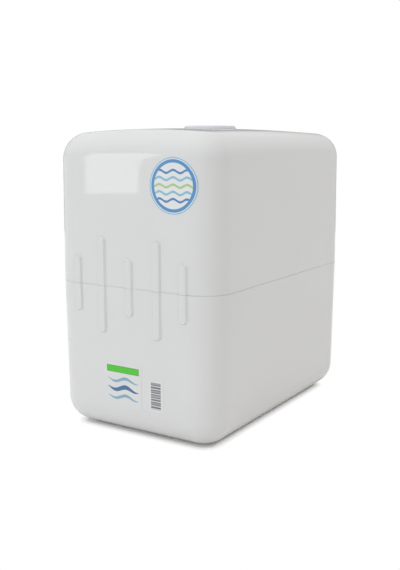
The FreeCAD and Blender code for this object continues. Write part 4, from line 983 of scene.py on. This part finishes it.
@dataclass
class PressureTank:
    """The tank with its cradle, port, diaphragm, air valve and ball valve."""

    radius: float = 100.0
    bead: WeldBead = WeldBead(half=4.0, proud=1.2, root=0.6, turn=80.0, steps=8)
    label_low: float = 192.0
    label_high: float = 252.0
    label_start: float = 22.0
    label_sweep: float = 84.0
    label_steps: int = 32
    film: float = 0.25
    film_gap: float = 0.05

    def build(self) -> None:
        """Dress the tank and its valve, and add the weld and the label."""
        dress(TANK_PAINT, "tank_shell")
        dress(ZINC_STEEL, "tank_port", "valve_ball")
        dress(RUBBER, "tank_diaphragm")
        dress(BRASS, "air_valve")
        dress(CRADLE_PP, "tank_cradle")
        dress(ACETAL, "tank_valve_body", "valve_outlet")
        dress(LEVER_PP, "valve_lever")
        low, high = box_mm("tank_shell")
        middle = (low + high) / 2
        self.weld(middle)
        self.label(middle)

    def weld(self, middle: Vector) -> None:
        """Run the weld bead round the tank, where its two drawn halves meet.

        Args:
            middle: the middle of the tank.
        """
        profile = self.bead.profile(self.radius, middle.z)
        make_piece("tank_weld", Form.ring(round_outline(middle.x, middle.y), profile), TANK_PAINT)

    def label(self, middle: Vector) -> None:
        """Lay the label on the tank's right side.

        Args:
            middle: the middle of the tank.
        """
        near = self.radius + self.film_gap
        far = near + self.film
        low, high = self.label_low, self.label_high
        outline = round_outline(
            middle.x, middle.y, self.label_start, self.label_sweep, self.label_steps
        )
        finish = TankPrint(
            "vinyl_film_printed_tank", colour="#eef0f1", roughness=0.16, band="#2f6fb5",
            centre_mm=(middle.x, middle.y, (low + high) / 2), radius=self.radius,
            facing=self.label_start + self.label_sweep / 2,
        )
        profile = [(near, low), (far, low), (far, high), (near, high)]
        make_piece("tank_label", Form.ring(outline, profile, closed=False), finish)


@dataclass
class FilterBank:
    """The bracket with the five cartridges and the membrane housing."""

    radius: float = 31.0
    length: float = 270.0
    bead: WeldBead = WeldBead(half=2.2, proud=0.7, root=0.4, turn=75.0, steps=6)
    bead_inset: float = 34.0
    weld_steps: int = 64
    wrap_gap: float = 80.0
    wrap_sweep: float = 344.0
    wrap_steps: int = 72
    film: float = 0.2
    film_gap: float = 0.04
    grain: float = 5.6
    grain_steps: int = 5
    grain_row: float = 0.87
    grain_stand: float = 0.9
    grain_jitter: float = 0.12
    grain_uneven: float = 0.04
    grain_crease: float = 85.0
    place_mixer: Pair = (12.9898, 78.233)
    size_mixer: Pair = (4.1, 2.7)
    pad: float = 6.0
    pad_hole: float = 0.5
    pad_gap: float = 0.1
    pad_round: Pair = (0.4, 1.2)
    pad_steps: int = 48
    membrane_band: str = "#3b4f9e"
    bands: tuple[tuple[str, str], ...] = (
        ("sediment_cartridge", "#2f7fc4"),
        ("carbon_block_cartridge", "#3f9d57"),
        ("granular_carbon_cartridge", "#d99a2b"),
        ("post_carbon_cartridge", "#7a5aa6"),
        ("mineral_cartridge", "#2aa39a"),
    )

    def build(self) -> None:
        """Dress the filters, and add their welds, wraps and mineral beads."""
        dress(
            CARTRIDGE_PP, "sediment_cartridge", "carbon_block_cartridge",
            "granular_carbon_cartridge", "post_carbon_cartridge", "membrane_housing",
            "membrane_cap",
        )
        dress(CLEAR_SAN, "mineral_cartridge")
        dress(MELT_BLOWN, "sediment_core")
        dress(CARBON, "carbon_block", "carbon_granules", "post_carbon_granules")
        dress(RUBBER, "membrane_ring")
        dress(WOUND_FILM, "membrane_element")
        dress(ACETAL, "membrane_core_tube", "cartridge_elbows")
        dress(ACETAL_BLUE, "elbow_collets")
        dress(BRACKET_PAINT, "filter_bracket")
        dress(ZINC_STEEL, "bracket_screws")
        dress(CLIP_PP, "cartridge_clips")
        for stage, (name, band) in enumerate(self.bands, start=1):
            self.weld(name)
            if name != "mineral_cartridge":
                self.wrap(name, band, stage)
        self.wrap("membrane_housing", self.membrane_band, len(self.bands) + 1)
        self.fill_minerals()

    def weld(self, name: str) -> None:
        """Run the two weld beads round a cartridge, where its domes meet its barrel.

        Args:
            name: the cartridge.
        """
        low, high = box_mm(name)
        finish = CLEAR_SAN if name == "mineral_cartridge" else CARTRIDGE_PP
        outline = round_outline((low.x + high.x) / 2, (low.y + high.y) / 2, steps=self.weld_steps)
        for end, middle in (("low", low.z + self.bead_inset), ("high", high.z - self.bead_inset)):
            profile = self.bead.profile(self.radius, middle)
            make_piece(f"{name}_weld_{end}", Form.ring(outline, profile), finish)

    def wrap(self, name: str, band: str, stage: int) -> None:
        """Wrap a cartridge in its printed film, between its two clips.

        Args:
            name: the cartridge.
            band: the colour of its bands.
            stage: its place in the water's way.
        """
        low, high = box_mm(name)
        x, y = (low.x + high.x) / 2, (low.y + high.y) / 2
        foot, head = low.z + self.wrap_gap, low.z + self.length - self.wrap_gap
        near = self.radius + self.film_gap
        far = near + self.film
        outline = round_outline(x, y, -self.wrap_sweep / 2, self.wrap_sweep, self.wrap_steps)
        finish = WrapPrint(
            f"vinyl_film_printed_wrap_{stage}", centre_mm=(x, y, (foot + head) / 2), band=band,
            squares=stage, radius=self.radius, tall=head - foot,
        )
        profile = [(near, foot), (far, foot), (far, head), (near, head)]
        make_piece(f"{name}_wrap", Form.ring(outline, profile, closed=False), finish)

    def fill_minerals(self) -> None:
        """Fill the clear cartridge with packed beads between two felt pads."""
        low, high = box_mm("mineral_granules")
        x, y, reach = (low.x + high.x) / 2, (low.y + high.y) / 2, (high.x - low.x) / 2
        foot, head = low.z + self.pad, high.z - self.pad
        around = round(2 * math.pi * reach / self.grain)
        rows = round((head - foot) / (self.grain * self.grain_row))
        steps, rises = around * self.grain_steps, rows * self.grain_steps
        points = []
        for j in range(rises + 1):
            for k in range(steps):
                turn = 2 * math.pi * k / steps
                stand = self.stand_out(k / self.grain_steps, j / self.grain_steps)
                out = reach - self.grain / 2 + stand
                height = foot + (head - foot) * j / rises
                points.append((x + out * math.sin(turn), y - out * math.cos(turn), height))
        faces: list[Face] = []
        for j in range(rises):
            for k in range(steps):
                below, after = j * steps, (k + 1) % steps
                above = below + steps
                faces.append((below + k, below + after, above + after, above + k))
        faces += [tuple(range(steps)), tuple(range(rises * steps, (rises + 1) * steps))]
        make_piece(
            "mineral_beads", Form(points, faces), BEADS, stands_for=("mineral_granules",),
            crease=self.grain_crease,
        )
        outline = round_outline(x, y, steps=self.pad_steps)
        for name, pad_foot in (("mineral_pad_low", low.z), ("mineral_pad_high", head)):
            make_piece(name, Form.ring(outline, self.pad_profile(reach, pad_foot)), MELT_BLOWN)

    def pad_profile(self, reach: float, foot: float) -> list[Pair]:
        """Give the profile of a felt pad with rounded rims.

        Args:
            reach: the pad's radius.
            foot: the height of its place's floor.

        Returns:
            The profile's corners, each with its reach and its height.
        """
        draw_in, rise = self.pad_round
        low, high = foot + self.pad_gap, foot + self.pad - self.pad_gap
        return [
            (self.pad_hole, low), (reach - draw_in, low), (reach, foot + rise),
            (reach, foot + self.pad - rise), (reach - draw_in, high), (self.pad_hole, high),
        ]

    def stand_out(self, across: float, up: float) -> float:
        """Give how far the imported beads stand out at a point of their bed.

        Each bead is shifted and sized by a sine of its place, so that no two look alike.

        Args:
            across: the place round the bed, in beads.
            up: the place up the bed, in rows.

        Returns:
            Millimetres out from the middle of the outer beads.
        """
        best = 0.0
        for row in (math.floor(up), math.floor(up) + 1):
            shift = 0.5 * (row % 2)
            centre = round(across - shift) + shift
            place = self.place_mixer[0] * centre + self.place_mixer[1] * row
            size = self.size_mixer[0] * centre + self.size_mixer[1] * row
            radius = 0.5 + self.grain_uneven * math.sin(size)
            aside = across - centre - self.grain_jitter * math.sin(place)
            gap = math.hypot(aside, (up - row) * self.grain_row)
            best = max(best, math.sqrt(max(radius * radius - gap * gap, 0.0)))
        return best * self.grain * self.grain_stand


@dataclass
class Plumbing:
    """The shut-off valve, tee, restrictor, tubing and the connections at the back."""

    strip_x: float = -57.0
    strip_half: float = 6.5
    strip_margin: float = 12.0
    draft: float = 0.5
    film: float = 0.2
    film_gap: float = 0.03

    def build(self) -> None:
        """Dress the plumbing and lay the strip beside the connections."""
        dress(
            ACETAL, "shutoff_body", "shutoff_cover", "shutoff_plunger", "tank_tee",
            "flow_restrictor", "bulkhead_fittings", "bulkhead_nuts",
        )
        dress(ZINC_STEEL, "shutoff_screws")
        dress(ACETAL_GREY, "drain_collet")
        dress(ACETAL_RED, "inlet_collet")
        dress(ACETAL_BLUE, "faucet_collet")
        dress(
            TUBE_PE, "jumper_tubes", "feed_tube", "membrane_feed_tube", "permeate_tube",
            "tank_tubes", "polish_tube", "reject_tube", "drain_tube", "inlet_tube", "faucet_tube",
        )
        self.lay_strip()

    def lay_strip(self) -> None:
        """Lay the strip of round marks on the back, which leans in a little to the floor."""
        seam, back = box_mm("upper_cover")[0].z, box_mm("base_shell")[1].y
        inks = {"drain_collet": "#7b7d80", "inlet_collet": "#c4312d", "faucet_collet": "#2f6fb5"}
        heights = {}
        for name, ink in inks.items():
            low, high = box_mm(name)
            heights[(low.z + high.z) / 2] = ink
        middle = sum(heights) / len(heights)
        half = (max(heights) - min(heights)) / 2 + self.strip_margin
        levels = (middle - half, middle + half)
        face = [back - (seam - z) * math.tan(math.radians(self.draft)) for z in levels]
        points = [
            (self.strip_x + side * self.strip_half, y + out, z)
            for out in (self.film_gap, self.film_gap + self.film)
            for (y, z) in zip(face, levels)
            for side in (-1, 1)
        ]
        faces = [
            (0, 1, 3, 2), (4, 5, 7, 6), (0, 1, 5, 4), (2, 3, 7, 6), (0, 2, 6, 4), (1, 3, 7, 5),
        ]
        finish = MarkPrint(
            "vinyl_film_printed_marks", centre_mm=(self.strip_x, back, middle),
            marks=tuple((z - middle, ink) for z, ink in heights.items()),
        )
        make_piece("connection_marks", Form(points, faces), finish)


def flat_panel(name: str, corners: list[Point], faces: list[Face]) -> bpy.types.Object:
    """Make a sheet that belongs to the studio and not to the object.

    Args:
        name: what it is called.
        corners: its corners, in metres.
        faces: its faces, by the numbers of their corners.

    Returns:
        The new piece of the studio.
    """
    mesh = bpy.data.meshes.new(name)
    mesh.from_pydata(corners, [], faces)
    panel = bpy.data.objects.new(name, mesh)
    bpy.context.scene.collection.objects.link(panel)
    return panel


@dataclass
class Studio:
    """The pale floor, the soft lamps and the camera, in metres, degrees and watts."""

    eye: Point = (0.64284, -1.04221, 0.40117)
    yaw: float = 32.30
    pitch: float = 10.04
    lens_mm: float = 51.18
    clip: Pair = (0.05, 60.0)
    floor_half: float = 12.0
    floor_shade: float = 0.9
    floor_seen: float = 1.25
    floor_tint: Point = (1.0, 0.988, 0.968)
    room_reach: float = 0.6
    foot_core: Point = (0.092, 0.161, 0.0)
    foot_radius: float = 0.0125
    shadow_reach: float = 0.015
    room_light: float = 0.525
    room_seen: float = 0.8
    horizon_rise: float = 0.17
    panel_y: float = -2.5
    panel_light: float = 3.15
    panel_outline: tuple[Pair, ...] = (
        (-2.021, 0.186), (-1.694, 0.197), (-1.691, 0.284), (-1.688, 0.315), (-1.681, 0.335),
        (-1.663, 0.351), (-1.625, 0.602), (-1.605, 0.759), (-1.570, 0.879), (-1.601, 1.095),
        (-1.697, 1.187), (-1.796, 1.176), (-1.900, 1.112), (-2.026, 1.142), (-2.127, 1.212),
        (-2.129, 1.064), (-2.085, 0.779), (-2.014, 0.351),
    )
    card_distance: float = 2.6
    card_height: float = 1.6
    card_turns: Pair = (-80.0, 12.0)
    card_steps: int = 9
    card_light: float = 0.36
    card_top_fade: float = 0.7
    card_left_fade: float = -2.3
    card_right_fade: float = -0.1
    lamp_side: float = 1.2
    lamp_distance: float = 3.0
    lamp_aim: Point = (0.0, 0.0, 0.2)

    def build(self) -> None:
        """Set up the studio."""
        self.set_colours()
        self.lay_floor()
        self.fill_world()
        self.hang_lamps()
        self.stand_panel()
        self.stand_card()
        self.place_camera()

    def set_colours(self) -> None:
        """Show colours as they are written."""
        bpy.context.scene.view_settings.view_transform = "Standard"

    def place_camera(self) -> None:
        """Stand the camera where the photograph was taken from."""
        data = bpy.data.cameras.new("camera")
        data.lens = self.lens_mm
        data.clip_start, data.clip_end = self.clip
        camera = bpy.data.objects.new("camera", data)
        bpy.context.scene.collection.objects.link(camera)
        camera.location = self.eye
        camera.rotation_euler = (math.radians(90 - self.pitch), 0.0, math.radians(self.yaw))
        bpy.context.scene.camera = camera

    def seen_white(self, tree: Tree) -> Socket:
        """Tell the rays that look at the background from the rays that light the object.

        Args:
            tree: the nodes of the floor or the world.

        Returns:
            One for what the camera, gloss and clear parts show, and zero otherwise.
        """
        path = add_node(tree, "ShaderNodeLightPath")
        gloss = add_node(
            tree, MATH, {"operation": "MAXIMUM"},
            {0: path.outputs["Is Camera Ray"], 1: path.outputs["Is Glossy Ray"]},
        )
        return add_node(
            tree, MATH, {"operation": "MAXIMUM"},
            {0: gloss.outputs[0], 1: path.outputs["Is Transmission Ray"]},
        ).outputs[0]

    def lay_floor(self) -> None:
        """Lay a wide pale floor that shows white but for the shadow close round the object."""
        half = self.floor_half
        corners = [(-half, -half, 0), (half, -half, 0), (half, half, 0), (-half, half, 0)]
        floor = flat_panel("floor", corners, [(0, 1, 2, 3)])
        material = bpy.data.materials.new("paper_backdrop_white")
        material.use_nodes = True
        tree = material.node_tree
        tree.nodes.clear()
        seen = self.seen_white(tree)
        camera = add_node(tree, "ShaderNodeLightPath").outputs["Is Camera Ray"]
        lit, shown = (
            (*(shade * part for part in self.floor_tint), 1.0)
            for shade in (self.floor_shade, self.floor_seen)
        )
        shade = add_node(
            tree, "ShaderNodeMix", {"data_type": "RGBA", 6: lit, 7: shown}, {0: seen}
        )
        paper = add_node(tree, "ShaderNodeBsdfDiffuse", links={"Color": shade.outputs[2]})
        white = add_node(tree, "ShaderNodeEmission", {"Color": WHITE, "Strength": 1.0})
        place = add_node(tree, "ShaderNodeTexCoord").outputs["Object"]
        far = self.past(tree, place, self.room_reach, self.room_reach)
        folded = add_node(
            tree, "ShaderNodeVectorMath", {"operation": "ABSOLUTE"}, {0: place}
        ).outputs[0]
        beyond = add_node(
            tree, "ShaderNodeVectorMath", {"operation": "SUBTRACT", 1: self.foot_core}, {0: folded}
        ).outputs[0]
        outside = add_node(
            tree, "ShaderNodeVectorMath", {"operation": "MAXIMUM"}, {0: beyond}
        ).outputs[0]
        clear = self.past(tree, outside, self.foot_radius, self.shadow_reach)
        mirrored = add_node(tree, MATH, {"operation": "MULTIPLY"}, {0: far, 1: seen}).outputs[0]
        looked_at = add_node(
            tree, MATH, {"operation": "MULTIPLY"}, {0: clear, 1: camera}
        ).outputs[0]
        share = add_node(
            tree, MATH, {"operation": "MAXIMUM"}, {0: mirrored, 1: looked_at}
        ).outputs[0]
        mix = add_node(
            tree, "ShaderNodeMixShader", links={0: share, 1: paper.outputs[0], 2: white.outputs[0]}
        )
        add_node(tree, "ShaderNodeOutputMaterial", links={"Surface": mix.outputs[0]})
        floor.data.materials.append(material)

    def past(self, tree: Tree, way: Socket, start: float, run: float) -> Socket:
        """Tell how far past a distance a way reaches.

        Args:
            tree: the floor's nodes.
            way: the way from the middle.
            start: the distance at which it begins to count.
            run: the run over which it counts up.

        Returns:
            Zero up to the distance, and one from the end of the run.
        """
        length = add_node(
            tree, "ShaderNodeVectorMath", {"operation": "LENGTH"}, {0: way}
        ).outputs["Value"]
        return add_node(
            tree, "ShaderNodeMapRange", {"From Min": start, "From Max": start + run},
            {"Value": length},
        ).outputs[0]

    def fill_world(self) -> None:
        """Fill the room with soft light, and show white behind everything.

        In gloss the room is a little darker than the floor, and it brightens to the floor's white
        towards the horizon, so that no line shows where the two meet.
        """
        world = bpy.data.worlds.new("room")
        bpy.context.scene.world = world
        world.use_nodes = True
        tree = world.node_tree
        tree.nodes.clear()
        soft = add_node(
            tree, "ShaderNodeBackground", {"Color": WHITE, "Strength": self.room_light}
        )
        gloss = add_node(tree, "ShaderNodeLightPath").outputs["Is Glossy Ray"]
        way = add_node(tree, "ShaderNodeTexCoord").outputs["Generated"]
        rise = add_node(tree, "ShaderNodeSeparateXYZ", links={"Vector": way}).outputs["Z"]
        seen = add_node(
            tree, "ShaderNodeMapRange",
            {"From Max": self.horizon_rise, "To Min": 1.0, "To Max": self.room_seen},
            {"Value": rise},
        ).outputs[0]
        strength = add_node(
            tree, "ShaderNodeMapRange", {"To Min": 1.0}, {"Value": gloss, "To Max": seen}
        ).outputs[0]
        white = add_node(tree, "ShaderNodeBackground", {"Color": WHITE}, {"Strength": strength})
        mix = add_node(
            tree, "ShaderNodeMixShader",
            links={0: self.seen_white(tree), 1: soft.outputs[0], 2: white.outputs[0]},
        )
        add_node(tree, "ShaderNodeOutputWorld", links={"Surface": mix.outputs[0]})

    def hang_lamps(self) -> None:
        """Hang the soft lamps."""
        self.lamp("overhead", turn=0.0, rise=90.0, watts=25.0)
        self.lamp("front", turn=-25.0, rise=18.0, watts=16.5, colour="#f1f8ff")
        self.lamp("right_high", turn=60.0, rise=45.0, watts=5.0)

    def stand_card(self) -> None:
        """Stand a curved grey card behind the object, which gloss alone shows.

        It draws a fine darker line along the far edges, as the walls of a room do, and it brightens
        to the room's own shade towards its top and both its ends, so that it has no edge there.
        """
        start, end = self.card_turns
        points = []
        for k in range(self.card_steps + 1):
            turn = math.radians(start + (end - start) * k / self.card_steps)
            points.append((
                self.card_distance * math.sin(turn), self.card_distance * math.cos(turn)
            ))
        corners = [(*point, height) for height in (0.0, self.card_height) for point in points]
        row = self.card_steps + 1
        faces = [(k, k + 1, row + k + 1, row + k) for k in range(self.card_steps)]
        tree = self.lit_panel("card", corners, faces)
        place = add_node(tree, "ShaderNodeTexCoord").outputs["Object"]
        axes = add_node(tree, "ShaderNodeSeparateXYZ", links={"Vector": place}).outputs
        top, right, left = (
            add_node(
                tree, "ShaderNodeMapRange", {"From Min": begin, "From Max": edge},
                {"Value": axes[axis]},
            ).outputs[0]
            for axis, begin, edge in (
                ("Z", self.card_top_fade, self.card_height),
                ("X", self.card_right_fade, points[-1][0]),
                ("X", self.card_left_fade, points[0][0]),
            )
        )
        ends = add_node(tree, MATH, {"operation": "MAXIMUM"}, {0: left, 1: right}).outputs[0]
        share = add_node(tree, MATH, {"operation": "MAXIMUM"}, {0: top, 1: ends}).outputs[0]
        level = self.eye[2]
        seen = add_node(
            tree, "ShaderNodeMapRange",
            {"From Min": level, "From Max": level + self.card_distance * self.horizon_rise,
             "To Min": 1.0, "To Max": self.room_seen},
            {"Value": axes["Z"]},
        ).outputs[0]
        strength = add_node(
            tree, "ShaderNodeMapRange", {"To Min": self.card_light},
            {"Value": share, "To Max": seen},
        ).outputs[0]
        glow = add_node(tree, "ShaderNodeEmission", {"Color": WHITE}, {"Strength": strength})
        add_node(tree, "ShaderNodeOutputMaterial", links={"Surface": glow.outputs[0]})

    def stand_panel(self) -> None:
        """Stand the small bright panel that shows in the gloss of the front.

        Its outline is that of a soft lamp's face whose upper right corner runs out in a long curve.
        """
        corners = [(x, self.panel_y, z) for x, z in self.panel_outline]
        tree = self.lit_panel("panel", corners, [tuple(range(len(corners)))])
        glow = add_node(
            tree, "ShaderNodeEmission", {"Color": WHITE, "Strength": self.panel_light}
        )
        add_node(tree, "ShaderNodeOutputMaterial", links={"Surface": glow.outputs[0]})

    def lit_panel(self, name: str, corners: list[Point], faces: list[Face]) -> Tree:
        """Make a glowing panel of the studio that gloss alone shows.

        Args:
            name: what it is called.
            corners: its corners.
            faces: its faces, by the numbers of their corners.

        Returns:
            Its material's empty node tree.
        """
        panel = flat_panel(name, corners, faces)
        material = bpy.data.materials.new(f"{name}_lit")
        material.use_nodes = True
        material.node_tree.nodes.clear()
        panel.data.materials.append(material)
        panel.visible_camera = panel.visible_diffuse = panel.visible_shadow = False
        panel.visible_transmission = False
        return material.node_tree

    def lamp(
        self, name: str, turn: float, rise: float, watts: float, colour: str = "#ffffff"
    ) -> None:
        """Hang one square soft lamp that faces the object.

        Args:
            name: what it is called.
            turn: degrees to the right of straight in front, round the object.
            rise: degrees above the floor.
            watts: its strength.
            colour: the colour of its light.
        """
        data = bpy.data.lights.new(name, "AREA")
        data.shape = "RECTANGLE"
        data.size = data.size_y = self.lamp_side
        data.energy = watts
        data.color = linear(colour)[:3]
        lamp = bpy.data.objects.new(name, data)
        bpy.context.scene.collection.objects.link(lamp)
        around, up = math.radians(turn), math.radians(rise)
        way = Vector((
            math.sin(around) * math.cos(up), -math.cos(around) * math.cos(up), math.sin(up)
        ))
        lamp.location = Vector(self.lamp_aim) + self.lamp_distance * way
        lamp.rotation_euler = (-way).to_track_quat("-Z", "Y").to_euler()
        lamp.visible_glossy = False


def main() -> None:
    """Build the studio, then dress every sub-assembly in turn."""
    logging.basicConfig(level=logging.INFO, format="%(name)s: %(message)s")
    for assembly in (Studio(), Case(), PressureTank(), FilterBank(), Plumbing()):
        assembly.build()
        LOG.info("%s done", type(assembly).__name__)


if __name__ == "__main__":
    main()
